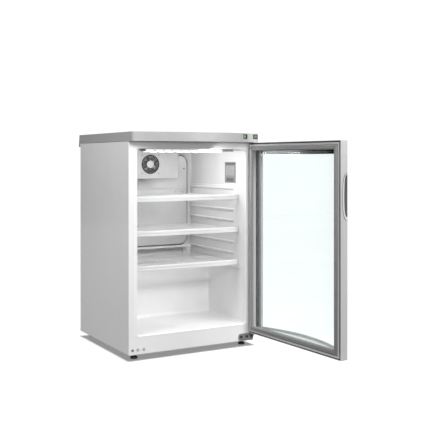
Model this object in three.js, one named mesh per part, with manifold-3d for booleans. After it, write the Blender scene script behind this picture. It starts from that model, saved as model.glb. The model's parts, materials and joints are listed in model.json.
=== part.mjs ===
// Under counter display fridge with a bowed glass door, three wire shelves and a fan-cooled plate evaporator.
// Millimetres, +Z up. The cabinet's front plane is y = 0 and its middle is x = 0 while the model is built;
// the whole group is then moved so that its origin is the bottom centre of the bounding box.
import * as THREE from 'three';
import { mergeVertices } from 'three/addons/utils/BufferGeometryUtils.js';
import Module from 'manifold-3d';

const wasm = await Module();
wasm.setup();

// ---------------------------------------------------------------- driving dimensions
const GAP = 0.3;
const SMALL = 1;
const BIG = 2000;

const CABINET = { halfWidth: 273.5, depth: 506, bottom: 19.5, top: 814.7, sheet: 1 };
const INSIDE = CABINET.halfWidth - CABINET.sheet - GAP;
const BASE_THICKNESS = 1.2;
const FLANGE = { halfWidth: 253, bottom: 84, top: 793, thickness: 1.5 };
const CAVITY = { halfWidth: 237, depth: 462, bottom: 90, top: 787, wall: 1.5 };
const STEP = { front: 302, top: 300 };
const BAY = { front: 336, roof: 271 };
const PAD = { thickness: 5, front: 50, bottom: 301, top: 640 };
const RIB = { pitch: 43.8, lowest: 312, height: 14, depth: 8, front: 82, back: 450, count: 8 };

const BOW = { halfChord: 226, sagitta: 46 };
BOW.radius = (BOW.halfChord ** 2 + BOW.sagitta ** 2) / (2 * BOW.sagitta);

const WORKTOP = {
  halfWidth: 275, bottom: 815, top: 850, front: -37.6, back: 512, corner: 9, lipBottom: 799, lipBack: 521,
};
const HOLLOW = { left: -250, right: 200, front: 20, back: 490, skin: 6 };
const CONTROL = { height: 837, proud: 1.2, rim: 2.2, clearance: 0.4 };
const SWITCH = { x: 207, width: 23, height: 17, depth: 14, well: 9, pivot: 2.5, tilt: 5 };
const ROCKER = { crest: 4.7, saddle: 3.3, shoulder: 0.5, heel: 2.5, heelHalf: 2 };
const DISPLAY = { x: 259, width: 21, height: 18, depth: 12, well: 1.6, windowHalf: 7.2, windowRise: 4.7 };

const DOOR = { halfWidth: 274.2, bottom: 51.2, top: 813.5, inner: -6.3, edge: 34, openAngle: 92.84 };
const HINGE = { x: 260.5, y: -15, pin: 4, bore: 4.15, sweep: 14.4 };
const FRAME = { lipInner: 12, rebate: 24.5, stile: 32, groove: 23.5 };
const RAIL = { bottomTop: 79.8, sill: 70, topLip: 767, topInner: 791, head: 800, lip: 3 };
const GASKET = { inset: 14.5, width: 17.5, outer: -0.3 };
const PANE = { thickness: 3, spacer: 8 };
const HANDLE = {
  bottom: 534, top: 700, root: 7.7, width: 22, lip: 1.8,
  scoopBottom: 546, scoopTop: 695, scoopRoot: 16, scoop: 15,
};

const SHELF = { halfWidth: 229.5, front: 49, back: 400, bar: 5, wire: 3, pitch: 15.2, ribs: [6, 3, 0] };
const TRIM = { halfWidth: 230.5, front: 30, sagitta: 14, below: 4, height: 20 };

const LAMP = {
  left: -200, right: 200, front: 36, back: 64, depth: 8.5, drop: 5, lensLeft: -185, lensRight: 147,
};
const FAN = { x: -3, z: 726, radius: 41, left: -133, right: 130, bottom: 665, front: 385 };
const PLATE = { halfWidth: 200, bottom: 372, top: 762, front: 436, thickness: 3, corner: 35, fold: 618 };
const GUTTER = {
  halfWidth: 206, front: 404, back: 443, frontFloor: 362, backFloor: 359, height: 8, wall: 2,
};
const SENSOR = { halfDepth: 4, halfHeight: 8, z: 676, neck: 8, reach: 28 };
const DRAIN = {
  x: -120, y: 422, radius: 8, bore: 5.5, outlet: 6.2, clearance: 8.4, bottom: 240, top: 359.4,
};
const LABEL = { front: 76, back: 163, bottom: 650, top: 736 };

const COMPRESSOR = { x: -70, y: 420, radius: 68, bottom: 42, top: 196, footX: 84, footY: 50, footDrop: 12 };
const RAIL_BED = { front: 345, back: 500, flange: 14, sheet: 1.5, cushionX: 72, cushion: 9 };
const RELAY = { width: 42, halfDepth: 30, bottom: 70, top: 130 };
const TRAY = { left: 70, right: 150, halfDepth: 66, height: 38, wall: 3 };
const COIL = {
  y: 512.5, left: -210, right: 195, bottom: 60, lowest: 330, pitch: 62, runs: 7, tube: 2.6, bend: 20,
};
const DRIER = { x: 120, y: 380, radius: 9, bottom: 60, top: 160 };
const SUCTION = { x: 190, y: 449, radius: 3.6, clearance: 4.4, bottom: 60, turn: 430, bend: 14 };
const GLAND = { x: 215, z: 60, nut: 11, barrel: 7 };

const FOOT = { x: 237, y: 34, radius: 14, stem: 5, clearance: 0.4, stemTop: 40, well: 48 };
const REAR_FOOT = { x: 225, y: 470, radius: 14 };
const BOLT = { z: 38, radius: 3, hole: 3.6, head: 6, headFront: -8.2, tip: 13 };
const BOLTS = [212.5, 238.9, 261.5];
const PLUG = { radius: 5, stem: 3.1, proud: 1.8, tip: 7 };
const PLUGS = [-257.7, -235.8, -211.3];
const BRACKET = { left: 203, right: 271, bottom: 23, top: 50, corner: 9, thickness: 3, armHalf: 9 };

// ---------------------------------------------------------------- finishes
function finish(color, roughness, metalness = 0) {
  return () => new THREE.MeshStandardMaterial({ color, roughness, metalness });
}

const whiteSteel = finish('#ececec', 0.4, 0.1);
const greySteel = finish('#c4c4c4', 0.45, 0.2);
const silver = finish('#a9abad', 0.4, 0.5);
const worktopGrey = finish('#bdbfc1', 0.45, 0.1);
const whitePlastic = finish('#eeeeee', 0.5);
const galvanised = finish('#9fa3a6', 0.45, 0.8);
const foamYellow = finish('#d8c98a', 0.9);
const blackPlastic = finish('#202122', 0.6);
const greyPlastic = finish('#8d8f91', 0.6);
const gasketGrey = finish('#8a8a8a', 0.8);
const glass = () => new THREE.MeshStandardMaterial({
  color: '#eefcfb', roughness: 0.05, transparent: true, opacity: 0.25,
});
const lensWhite = finish('#fbfbfb', 0.3);
const greenLens = finish('#3fae4e', 0.3);
const copper = finish('#b06a3c', 0.35, 0.9);
const aluminium = finish('#d2d3d4', 0.4, 0.6);
const blackSteel = finish('#232425', 0.45, 0.6);

// ---------------------------------------------------------------- scene graph helpers
const fridge = new THREE.Group();
const cabinet = new THREE.Group();
const door = new THREE.Group();

function place(name, geometry, material, parent = cabinet) {
  const mesh = new THREE.Mesh(geometry, material());
  mesh.name = name;
  parent.add(mesh);
  return mesh;
}

// ---------------------------------------------------------------- shape helpers
function box(x0, x1, y0, y1, z0, z1) {
  const geometry = new THREE.BoxGeometry(x1 - x0, y1 - y0, z1 - z0);
  geometry.translate((x0 + x1) / 2, (y0 + y1) / 2, (z0 + z1) / 2);
  return geometry;
}

function outline(points, holes = []) {
  const shape = new THREE.Shape(points.map(([u, v]) => new THREE.Vector2(u, v)));
  for (const hole of holes) {
    shape.holes.push(new THREE.Path(hole.map(([u, v]) => new THREE.Vector2(u, v))));
  }
  return shape;
}

function extrude(shape, depth) {
  return new THREE.ExtrudeGeometry(shape, { depth, bevelEnabled: false, curveSegments: 3 });
}

// The shape is drawn in plan (x, y) and rises from z0 to z1.
function extrudeUp(shape, z0, z1) {
  return extrude(shape, z1 - z0).translate(0, 0, z0);
}

// The shape is drawn as seen from the front (x, z) and runs from y0 back to y1.
function extrudeBack(shape, y0, y1) {
  return extrude(shape, y1 - y0).rotateX(Math.PI / 2).translate(0, y1, 0);
}

// The shape is drawn as seen from the side (y, z) and runs from x0 to x1.
function extrudeAcross(shape, x0, x1) {
  const basis = new THREE.Matrix4().makeBasis(
    new THREE.Vector3(0, 1, 0),
    new THREE.Vector3(0, 0, 1),
    new THREE.Vector3(1, 0, 0),
  );
  return extrude(shape, x1 - x0).applyMatrix4(basis).translate(x0, 0, 0);
}

function rectangle(u0, u1, v0, v1) {
  return [[u0, v0], [u1, v0], [u1, v1], [u0, v1]];
}

function roundedRectangle(u0, u1, v0, v1, radius) {
  const shape = new THREE.Shape();
  shape.moveTo(u0 + radius, v0);
  shape.lineTo(u1 - radius, v0);
  shape.absarc(u1 - radius, v0 + radius, radius, -Math.PI / 2, 0);
  shape.lineTo(u1, v1 - radius);
  shape.absarc(u1 - radius, v1 - radius, radius, 0, Math.PI / 2);
  shape.lineTo(u0 + radius, v1);
  shape.absarc(u0 + radius, v1 - radius, radius, Math.PI / 2, Math.PI);
  shape.lineTo(u0, v0 + radius);
  shape.absarc(u0 + radius, v0 + radius, radius, Math.PI, 1.5 * Math.PI);
  return shape;
}

function circle(u, v, radius, count = 24) {
  return Array.from({ length: count }, (_, index) => {
    const angle = (index / count) * 2 * Math.PI;
    return [u + radius * Math.cos(angle), v + radius * Math.sin(angle)];
  });
}

function arcPoints(x, y, radius, start, end, count) {
  return Array.from({ length: count + 1 }, (_, index) => {
    const angle = start + ((end - start) * index) / count;
    return [x + radius * Math.cos(angle), y + radius * Math.sin(angle)];
  });
}

function pillar(x, y, radius, z0, z1, count = 24) {
  return extrudeUp(outline(circle(x, y, radius, count)), z0, z1);
}

function rod(x, z, radius, y0, y1, count = 16) {
  return extrudeBack(outline(circle(x, z, radius, count)), y0, y1);
}

// A turned piece about a vertical axis; the profile is a list of [radius, height].
function turned(x, y, profile, count = 24) {
  const points = profile.map(([radius, height]) => new THREE.Vector2(radius, height));
  return new THREE.LatheGeometry(points, count).rotateX(Math.PI / 2).translate(x, y, 0);
}

// ---------------------------------------------------------------- joining and cutting
function solid(geometry) {
  const bare = geometry.clone();
  bare.deleteAttribute('normal');
  bare.deleteAttribute('uv');
  const merged = mergeVertices(bare, 1e-4);
  const vertProperties = new Float32Array(merged.attributes.position.array);
  const triVerts = new Uint32Array(merged.index.array);
  return new wasm.Manifold(new wasm.Mesh({ numProp: 3, vertProperties, triVerts }));
}

function geometryOf(manifold) {
  const mesh = manifold.getMesh();
  const geometry = new THREE.BufferGeometry();
  geometry.setAttribute('position', new THREE.BufferAttribute(mesh.vertProperties, 3));
  geometry.setIndex(new THREE.BufferAttribute(mesh.triVerts, 1));
  geometry.computeVertexNormals();
  return geometry;
}

function join(...geometries) {
  return geometryOf(geometries.map(solid).reduce((total, piece) => total.add(piece)));
}

function cut(geometry, ...tools) {
  return geometryOf(tools.map(solid).reduce((total, tool) => total.subtract(tool), solid(geometry)));
}

// ---------------------------------------------------------------- tubes along a route
// A route is a chain of points; each tube ring stands on one of them.
class Route extends THREE.Curve {
  constructor(points) {
    super();
    this.points = points;
  }

  getPoint(t, target = new THREE.Vector3()) {
    const last = this.points.length - 1;
    const place01 = Math.min(Math.max(t, 0), 1) * last;
    const index = Math.min(Math.floor(place01), last - 1);
    return target.lerpVectors(this.points[index], this.points[index + 1], place01 - index);
  }

  getPointAt(u, target) {
    return this.getPoint(u, target);
  }

  getTangentAt(u, target) {
    return this.getTangent(u, target);
  }
}

// Replaces each inner corner of a chain by a short arc of the given bend radius.
function bend(corners, radius, steps = 3) {
  const route = [corners[0].clone()];
  for (let index = 1; index < corners.length - 1; index += 1) {
    const corner = corners[index];
    const before = corners[index - 1].clone().sub(corner).normalize();
    const after = corners[index + 1].clone().sub(corner).normalize();
    const start = corner.clone().addScaledVector(before, radius);
    const end = corner.clone().addScaledVector(after, radius);
    const arc = new THREE.QuadraticBezierCurve3(start, corner, end);
    route.push(...arc.getPoints(steps));
  }
  route.push(corners.at(-1).clone());
  return route;
}

function tube(corners, bendRadius, radius, sides = 6) {
  const route = bend(corners.map(([x, y, z]) => new THREE.Vector3(x, y, z)), bendRadius);
  const section = outline(circle(0, 0, radius, sides));
  return new THREE.ExtrudeGeometry(section, {
    extrudePath: new Route(route),
    steps: route.length - 1,
    bevelEnabled: false,
  });
}

// ---------------------------------------------------------------- the bowed front line
// Distance by which the bowed front stands ahead of its flat ends at a given x.
function bowAt(x) {
  if (Math.abs(x) >= BOW.halfChord) return 0;
  return BOW.sagitta - BOW.radius + Math.sqrt(BOW.radius ** 2 - x ** 2);
}

// Plan points along the bow from x0 to x1, all set back from a base line by an inset.
function bowLine(x0, x1, base, count = 20) {
  return Array.from({ length: count + 1 }, (_, index) => {
    const x = x0 + ((x1 - x0) * index) / count;
    return [x, base - bowAt(x)];
  });
}

// ---------------------------------------------------------------- cabinet shell
function addShell() {
  const { halfWidth, depth, bottom, top, sheet } = CABINET;
  const outside = box(-halfWidth, halfWidth, 0, depth, bottom, top);
  const inside = box(
    -halfWidth + sheet, halfWidth - sheet, sheet, depth + SMALL, bottom - SMALL, top - sheet,
  );
  const opening = box(
    -FLANGE.halfWidth - GAP, FLANGE.halfWidth + GAP, -SMALL, sheet + SMALL,
    FLANGE.bottom - GAP, FLANGE.top + GAP,
  );
  const holes = [...BOLTS, ...PLUGS].map((x) => rod(x, BOLT.z, BOLT.hole, -SMALL, sheet + SMALL, 12));
  place('outer_shell', cut(outside, inside, opening, ...holes), whiteSteel);
}

function addBackAndBase() {
  const backFace = CABINET.depth - GAP;
  const thickness = CABINET.sheet;
  const floor = CABINET.bottom + BASE_THICKNESS + GAP;
  const ceiling = CABINET.top - CABINET.sheet - GAP;
  const profile = outline([
    [BAY.front - thickness, floor], [BAY.front, floor],
    [BAY.front, BAY.roof], [backFace, BAY.roof], [backFace, ceiling],
    [backFace - thickness, ceiling], [backFace - thickness, BAY.roof + thickness],
    [BAY.front - thickness, BAY.roof + thickness],
  ]);
  const panel = extrudeAcross(profile, -INSIDE, INSIDE);
  place('back_panel', cut(panel, ...pipeHoles(BAY.roof - SMALL, BAY.roof + 2)), galvanised);

  const plate = box(
    -INSIDE, INSIDE, CABINET.sheet + GAP, BAY.front - thickness,
    CABINET.bottom, CABINET.bottom + BASE_THICKNESS,
  );
  place('base_plate', cut(plate, ...footWells(FOOT.stem + FOOT.clearance, BAY.roof)), galvanised);
}

// Clearance round the drain tube and the suction line where they pass through a wall.
function pipeHoles(z0, z1) {
  return [DRAIN, SUCTION].map(({ x, y, clearance }) => pillar(x, y, clearance, z0, z1, 16));
}

function footWells(radius, height) {
  return [-FOOT.x, FOOT.x].map((x) => pillar(x, FOOT.y, radius, 0, height, 16));
}

// Outside of the liner, and the space that it encloses.
function linerOutside(grow) {
  const { halfWidth, depth, bottom, top, wall } = CAVITY;
  const skin = wall + grow;
  const main = box(-halfWidth - skin, halfWidth + skin, 0, depth + skin, bottom - skin, top + skin);
  const under = box(-BIG, BIG, STEP.front + wall + grow, BIG, -BIG, STEP.top - wall - grow);
  return cut(main, under);
}

function addFoam() {
  const skin = CABINET.sheet + GAP;
  const block = box(
    -INSIDE, INSIDE, FLANGE.thickness + GAP, CABINET.depth - skin - GAP,
    CABINET.bottom + BASE_THICKNESS + GAP, CABINET.top - skin,
  );
  const bay = box(-BIG, BIG, BAY.front - skin, BIG, -BIG, BAY.roof + skin);
  const stems = footWells(FOOT.stem + 2 * GAP, FOOT.well);
  const bolts = BOLTS.map((x) => rod(x, BOLT.z, BOLT.radius + GAP, -SMALL, BOLT.tip + SMALL, 12));
  const plugs = PLUGS.map((x) => rod(x, BOLT.z, PLUG.stem + GAP, -SMALL, PLUG.tip + SMALL, 12));
  const holes = [...stems, ...pipeHoles(BAY.roof, STEP.top), ...bolts, ...plugs];
  place('foam_insulation', cut(block, linerOutside(GAP), bay, ...holes), foamYellow);
}

// Side ribs carry the shelves; their under side slopes back to the wall.
function rib(side, level) {
  const wall = side * (CAVITY.halfWidth - PAD.thickness + SMALL);
  const face = side * (CAVITY.halfWidth - PAD.thickness - RIB.depth);
  const bottom = RIB.lowest + RIB.pitch * level;
  const top = bottom + RIB.height;
  const profile = outline([[wall, bottom], [face, bottom + RIB.height / 2], [face, top], [wall, top]]);
  return extrudeBack(profile, RIB.front, RIB.back);
}

function addLiner() {
  const { halfWidth, depth, bottom, top } = CAVITY;
  const main = box(-halfWidth, halfWidth, -SMALL, depth, bottom, top);
  const step = box(-BIG, BIG, STEP.front, BIG, -BIG, STEP.top);
  const space = solid(cut(main, step));
  const flange = box(
    -FLANGE.halfWidth, FLANGE.halfWidth, 0, FLANGE.thickness, FLANGE.bottom, FLANGE.top,
  );
  let liner = solid(linerOutside(0)).add(solid(flange)).subtract(space);
  for (const side of [-1, 1]) {
    const wall = side * (halfWidth + SMALL);
    const face = side * (halfWidth - PAD.thickness);
    const pad = box(
      Math.min(wall, face), Math.max(wall, face), PAD.front, depth + SMALL, PAD.bottom, PAD.top,
    );
    liner = liner.add(solid(pad));
    for (let level = 0; level < RIB.count; level += 1) {
      liner = liner.add(solid(rib(side, level)));
    }
  }
  for (const hole of pipeHoles(BAY.roof, STEP.top + SMALL)) {
    liner = liner.subtract(solid(hole));
  }
  place('inner_liner', geometryOf(liner), whitePlastic);
}

// ---------------------------------------------------------------- worktop and controls
function worktopBody() {
  const { halfWidth, bottom, top, front, back, corner, lipBottom, lipBack } = WORKTOP;
  const seam = 400;
  const frontLine = [
    ...arcPoints(-halfWidth + corner, front + corner, corner, Math.PI, 1.5 * Math.PI, 4),
    ...bowLine(-BOW.halfChord, BOW.halfChord, front, 24),
    ...arcPoints(halfWidth - corner, front + corner, corner, 1.5 * Math.PI, 2 * Math.PI, 4),
  ];
  const slab = extrudeUp(outline([...frontLine, [halfWidth, seam], [-halfWidth, seam]]), bottom, top);
  const lipFront = CABINET.depth + GAP;
  const rear = extrudeAcross(outline([
    [seam - SMALL, bottom], [lipFront, bottom], [lipFront, lipBottom],
    [lipBack, lipBottom], [back, top], [seam - SMALL, top],
  ]), -halfWidth, halfWidth);
  const hollow = box(
    HOLLOW.left, HOLLOW.right, HOLLOW.front, HOLLOW.back, bottom - SMALL, top - HOLLOW.skin,
  );
  return solid(slab).add(solid(rear)).subtract(solid(hollow));
}

// A frame standing on the worktop's front at x, facing along the outward normal of the bow.
function controlFrame(x) {
  const group = new THREE.Group();
  const slope = Math.abs(x) < BOW.halfChord ? Math.asin(x / BOW.radius) : 0;
  group.position.set(x, WORKTOP.front - bowAt(x), CONTROL.height);
  group.rotation.z = slope;
  group.updateMatrix();
  return group;
}

function addWorktop() {
  const switchFrame = controlFrame(SWITCH.x);
  const displayFrame = controlFrame(DISPLAY.x);
  const pocket = (frame, control) => box(
    -control.width / 2 - GAP, control.width / 2 + GAP, -control.width, control.depth + GAP,
    -control.height / 2 - GAP, control.height / 2 + GAP,
  ).applyMatrix4(frame.matrix);
  const hingePocket = box(
    HINGE.x - 30, HINGE.x + 12.5, HINGE.y - 10, 32, WORKTOP.bottom - SMALL, WORKTOP.bottom + 3,
  );
  const worktop = worktopBody()
    .subtract(solid(pocket(switchFrame, SWITCH)))
    .subtract(solid(pocket(displayFrame, DISPLAY)))
    .subtract(solid(hingePocket));
  place('worktop', geometryOf(worktop), worktopGrey);
  cabinet.add(switchFrame, displayFrame);
  addSwitch(switchFrame);
  addDisplay(displayFrame);
}

// A control's housing with a well in its face.
function bezel(name, frame, { width, height, depth, well }, wellX, wellZ) {
  const body = box(-width / 2, width / 2, -CONTROL.proud, depth, -height / 2, height / 2);
  const opening = box(-wellX, wellX, -depth, well, -wellZ, wellZ);
  place(name, cut(body, opening), blackPlastic, frame);
}

function addSwitch(frame) {
  const wellX = SWITCH.width / 2 - CONTROL.rim;
  const wellZ = SWITCH.height / 2 - CONTROL.rim;
  bezel('switch_bezel', frame, SWITCH, wellX, wellZ);

  // The rocker tilts about a vertical pivot behind its face.
  // Its right half is pressed in while the lamp is on.
  const half = wellX - 1.1;
  const rise = wellZ - CONTROL.clearance;
  const { crest, saddle, shoulder, heel, heelHalf } = ROCKER;
  const profile = outline([
    [-half, -crest], [0, -saddle], [half, -crest], [half, shoulder],
    [heelHalf, heel], [-heelHalf, heel], [-half, shoulder],
  ]);
  const rocker = place('light_switch_rocker', extrudeUp(profile, -rise, rise), greenLens, frame);
  rocker.position.y = SWITCH.pivot;
  rocker.rotation.z = THREE.MathUtils.degToRad(SWITCH.tilt);
}

function addDisplay(frame) {
  const { well, windowHalf, windowRise } = DISPLAY;
  bezel('display_bezel', frame, DISPLAY, windowHalf + GAP, windowRise + GAP);
  const pane = box(-windowHalf, windowHalf, -CONTROL.proud / 2, well - GAP, -windowRise, windowRise);
  place('display_window', pane, greyPlastic, frame);
}

// ---------------------------------------------------------------- inside the cavity
function addLamp() {
  const ceiling = CAVITY.top - GAP;
  const bottom = ceiling - LAMP.depth;
  const housing = box(LAMP.left, LAMP.right, LAMP.front, LAMP.back, bottom, ceiling);
  const wall = 2;
  const channel = box(
    LAMP.lensLeft - GAP, LAMP.lensRight + GAP, LAMP.front - SMALL, LAMP.back - wall,
    bottom - SMALL, ceiling - wall,
  );
  place('lamp_housing', cut(housing, channel), greyPlastic);
  const inset = wall + GAP;
  const lens = roundedRectangle(LAMP.front, LAMP.back - inset, bottom - LAMP.drop, ceiling - inset, 3);
  place('lamp_lens', extrudeAcross(lens, LAMP.lensLeft, LAMP.lensRight), lensWhite);
}

function addFan() {
  const { x, z, radius, left, right, bottom, front } = FAN;
  const back = PLATE.front - GAP;
  const top = CAVITY.top - GAP;
  const sheet = 1.5;
  const cover = cut(
    box(left, right, front, back, bottom, top),
    box(left + sheet, right - sheet, front + sheet, back + SMALL, bottom + sheet, top - sheet),
    rod(x, z, radius - 1, front - SMALL, front + 3, 32),
  );
  place('fan_cover', cover, whitePlastic);
  addFanGuard(x, z, radius, front);
  addFanMotor(x, z, front);
}

function ring(x, z, outer, inner, y0, y1, count = 24) {
  const hole = circle(x, z, inner, count).reverse();
  return extrudeBack(outline(circle(x, z, outer, count), [hole]), y0, y1);
}

function addFanGuard(x, z, radius, front) {
  const y0 = front - 3.5;
  const y1 = front - GAP;
  const rings = [radius, 0.7 * radius].map((outer) => ring(x, z, outer, outer - 3.5, y0, y1));
  const hub = rod(x, z, 15, y0, y1, 16);
  const spokes = [0.25, 0.75].map((turn) => {
    const spoke = box(-radius + 2, radius - 2, y0, y1, -1.6, 1.6);
    return spoke.rotateY(turn * Math.PI).translate(x, 0, z);
  });
  place('fan_guard', join(...rings, hub, ...spokes), blackPlastic);
}

function addFanMotor(x, z, front) {
  const motorFront = front + 20;
  const shroud = 44;
  const can = rod(x, z, 17, motorFront, motorFront + 16, 20);
  const rim = ring(x, z, shroud, shroud - 3, front + 1.8, motorFront + 10, 24);
  const struts = [0, 0.5].map((turn) => {
    const strut = box(-shroud + 2, shroud - 2, motorFront + 4, motorFront + 9, -2.5, 2.5);
    return strut.rotateY(turn * Math.PI).translate(x, 0, z);
  });
  place('fan_motor', join(can, rim, ...struts), blackPlastic);
  addImpeller(x, z, front + 3.5, motorFront - 1.5);
}

function addImpeller(x, z, y0, y1) {
  const hub = rod(x, z, 13, y0, y1, 20);
  const blades = Array.from({ length: 7 }, (_, index) => {
    const blade = box(8, 38, -0.9, 0.9, -7, 7);
    blade.rotateX(0.7).rotateY((index / 7) * 2 * Math.PI);
    return blade.translate(x, (y0 + y1) / 2, z);
  });
  place('fan_impeller', join(hub, ...blades), greyPlastic);
}

function addEvaporator() {
  const { halfWidth, bottom, top, front, thickness, corner, fold } = PLATE;
  const sheet = roundedRectangle(-halfWidth, halfWidth, bottom, top, corner);
  const bead = box(-halfWidth + 2, halfWidth - 2, front - 2, front + 1, fold - 2, fold + 2);
  place('evaporator_plate', join(extrudeBack(sheet, front, front + thickness), bead), aluminium);

  const { halfDepth, halfHeight, z, neck, reach } = SENSOR;
  const middle = front + thickness / 2;
  const grip = box(
    -halfWidth - neck, -halfWidth - GAP,
    middle - halfDepth, middle + halfDepth, z - halfHeight, z + halfHeight,
  );
  const bulb = box(
    -halfWidth - reach, -halfWidth - neck + GAP,
    middle - halfDepth + 1, middle + halfDepth - 1, z - 3, z + 3,
  );
  const clip = join(grip, bulb);
  place('sensor_clip', clip, whitePlastic);
}

// A shallow trough below the plate that falls back to the drain tube.
function addDrain() {
  const { halfWidth, front, back, frontFloor, backFloor, height, wall } = GUTTER;
  const trough = outline([
    [front, frontFloor], [back, backFloor], [back, backFloor + height], [back - wall, backFloor + height],
    [back - wall, backFloor + wall], [front + wall, frontFloor + wall],
    [front + wall, frontFloor + height], [front, frontFloor + height],
  ]);
  const outlet = pillar(DRAIN.x, DRAIN.y, DRAIN.outlet, backFloor - 10, backFloor + 20, 12);
  place('drain_gutter', cut(extrudeAcross(trough, -halfWidth, halfWidth), outlet), whitePlastic);

  const { bore, radius, bottom } = DRAIN;
  const wallProfile = [
    [bore, bottom], [radius, bottom], [radius, DRAIN.top], [bore, DRAIN.top], [bore, bottom],
  ];
  place('drain_tube', turned(DRAIN.x, DRAIN.y, wallProfile, 16), whitePlastic);
}

function addLabel() {
  const wall = CAVITY.halfWidth;
  const foil = box(wall - 0.7, wall - 0.2, LABEL.front, LABEL.back, LABEL.bottom, LABEL.top);
  place('rating_label', foil, aluminium);
}

// ---------------------------------------------------------------- shelves
function shelfBase(level) {
  return RIB.lowest + RIB.pitch * level + RIB.height + GAP;
}

function addShelf(number, level) {
  const { halfWidth, front, back, bar, wire, pitch } = SHELF;
  const z0 = shelfBase(level);
  const z1 = z0 + bar;
  const slotCount = Math.floor((2 * halfWidth - 2 * bar) / pitch);
  const slots = Array.from({ length: slotCount }, (_, index) => {
    const x = (index - (slotCount - 1) / 2) * pitch;
    const half = (pitch - wire) / 2;
    return box(x - half, x + half, front + bar, back - bar, z1 - SMALL, z1 + wire + SMALL);
  });
  const grid = cut(box(-halfWidth, halfWidth, front, back, z0, z1 + wire), ...slots);
  const under = box(
    -halfWidth + bar, halfWidth - bar, front + bar + SMALL, back - bar - SMALL, z0 - SMALL, z1,
  );
  place(`shelf_${number}`, cut(grid, under), whiteSteel);

  const rear = front - GAP;
  const tips = TRIM.front + TRIM.sagitta;
  const curve = new THREE.QuadraticBezierCurve(
    new THREE.Vector2(-TRIM.halfWidth, tips),
    new THREE.Vector2(0, TRIM.front - TRIM.sagitta),
    new THREE.Vector2(TRIM.halfWidth, tips),
  );
  const frontLine = curve.getPoints(14).map((point) => [point.x, point.y]);
  const plan = outline([...frontLine, [TRIM.halfWidth, rear], [-TRIM.halfWidth, rear]]);
  const trimBottom = z0 - TRIM.below;
  place(`shelf_trim_${number}`, extrudeUp(plan, trimBottom, trimBottom + TRIM.height), whitePlastic);
}

// ---------------------------------------------------------------- refrigeration parts
function addCompressor() {
  const { x, y, radius, bottom, top } = COMPRESSOR;
  const pot = turned(x, y, [
    [0, bottom], [radius * 0.7, bottom + 4], [radius * 0.96, bottom + 22], [radius, bottom + 60],
    [radius, bottom + 92], [radius * 0.94, top - 22], [radius * 0.66, top - 5], [0, top],
  ], 20);
  const { footX, footY, footDrop } = COMPRESSOR;
  const feet = box(x - footX, x + footX, y - footY, y + footY, bottom - footDrop, bottom + 10);
  place('compressor', join(pot, feet), blackSteel);

  const { front, back, flange, sheet, cushionX, cushion } = RAIL_BED;
  const z0 = CABINET.bottom + 0.5;
  const rail = outline([
    [front, z0], [back, z0], [back, z0 + flange], [back - sheet, z0 + flange], [back - sheet, z0 + sheet],
    [front + sheet, z0 + sheet], [front + sheet, z0 + flange], [front, z0 + flange],
  ]);
  const cushionTop = bottom - footDrop - GAP;
  const cushions = [-cushionX, cushionX].map((offset) => {
    return pillar(x + offset, y, cushion, z0 + 1, cushionTop, 12);
  });
  place('compressor_rail', join(extrudeAcross(rail, -INSIDE, INSIDE), ...cushions), galvanised);

  const side = x + radius + 3;
  const { width, halfDepth } = RELAY;
  const relay = box(side, side + width, y - halfDepth, y + halfDepth, RELAY.bottom, RELAY.top);
  place('relay_box', relay, blackPlastic);
}

function addTray() {
  const { x, y, top } = COMPRESSOR;
  const { left, right, halfDepth, height, wall } = TRAY;
  const z0 = top + 1;
  const tray = box(x - left, x + right, y - halfDepth, y + halfDepth, z0, z0 + height);
  const inside = box(
    x - left + wall, x + right - wall, y - halfDepth + wall, y + halfDepth - wall,
    z0 + wall, z0 + height + SMALL,
  );
  place('evaporation_tray', cut(tray, inside), blackPlastic);
}

function addPipes() {
  const { y, left, right, pitch } = COIL;
  const corners = [[left, y, COIL.bottom]];
  for (let run = 0; run < COIL.runs; run += 1) {
    const z = COIL.lowest + run * pitch;
    const start = run % 2 === 0 ? left : right;
    corners.push([start, y, z], [left + right - start, y, z]);
  }
  place('condenser_coil', tube(corners, COIL.bend, COIL.tube), blackSteel);

  place('filter_drier', pillar(DRIER.x, DRIER.y, DRIER.radius, DRIER.bottom, DRIER.top, 12), copper);
  const { turn } = SUCTION;
  const behindPlate = SUCTION.y + 3;
  const suction = [
    [SUCTION.x, SUCTION.y, SUCTION.bottom], [SUCTION.x, SUCTION.y, turn],
    [SUCTION.x - 40, behindPlate, turn + 40], [SUCTION.x - 80, behindPlate, turn + 90],
  ];
  place('suction_line', tube(suction, SUCTION.bend, SUCTION.radius), copper);
}

function addGland() {
  const back = CABINET.depth;
  const { x, z, nut, barrel } = GLAND;
  const gland = join(
    rod(x, z, nut, back - 5.5, back + 3, 16),
    rod(x, z, barrel, back - 26, back + 9, 12),
  );
  place('cable_gland', gland, blackPlastic);
}

// ---------------------------------------------------------------- feet
function addFeet() {
  const { radius, stem, stemTop } = FOOT;
  const nut = 8;
  for (const [name, side] of [['front_foot_left', -1], ['front_foot_right', 1]]) {
    const foot = turned(side * FOOT.x, FOOT.y, [
      [0, 0], [radius - 2, 0], [radius, 2], [radius, 7], [nut, 10], [nut, 15],
      [stem, 15], [stem, stemTop], [0, stemTop],
    ], 16);
    place(name, foot, blackPlastic);
  }
  const seat = CABINET.bottom + 0.2;
  for (const [name, side] of [['rear_foot_left', -1], ['rear_foot_right', 1]]) {
    const foot = turned(side * REAR_FOOT.x, REAR_FOOT.y, [
      [0, 0], [REAR_FOOT.radius, 0], [REAR_FOOT.radius + 2, 3], [REAR_FOOT.radius - 1, seat], [0, seat],
    ], 16);
    place(name, foot, blackPlastic);
  }
}

// ---------------------------------------------------------------- hinges on the cabinet
function hexBolt(x) {
  const head = extrudeBack(outline(circle(x, BOLT.z, BOLT.head, 6)), BOLT.headFront, BOLT.headFront + 4.6);
  return join(head, rod(x, BOLT.z, BOLT.radius, BOLT.headFront + GAP, BOLT.tip, 10));
}

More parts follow.
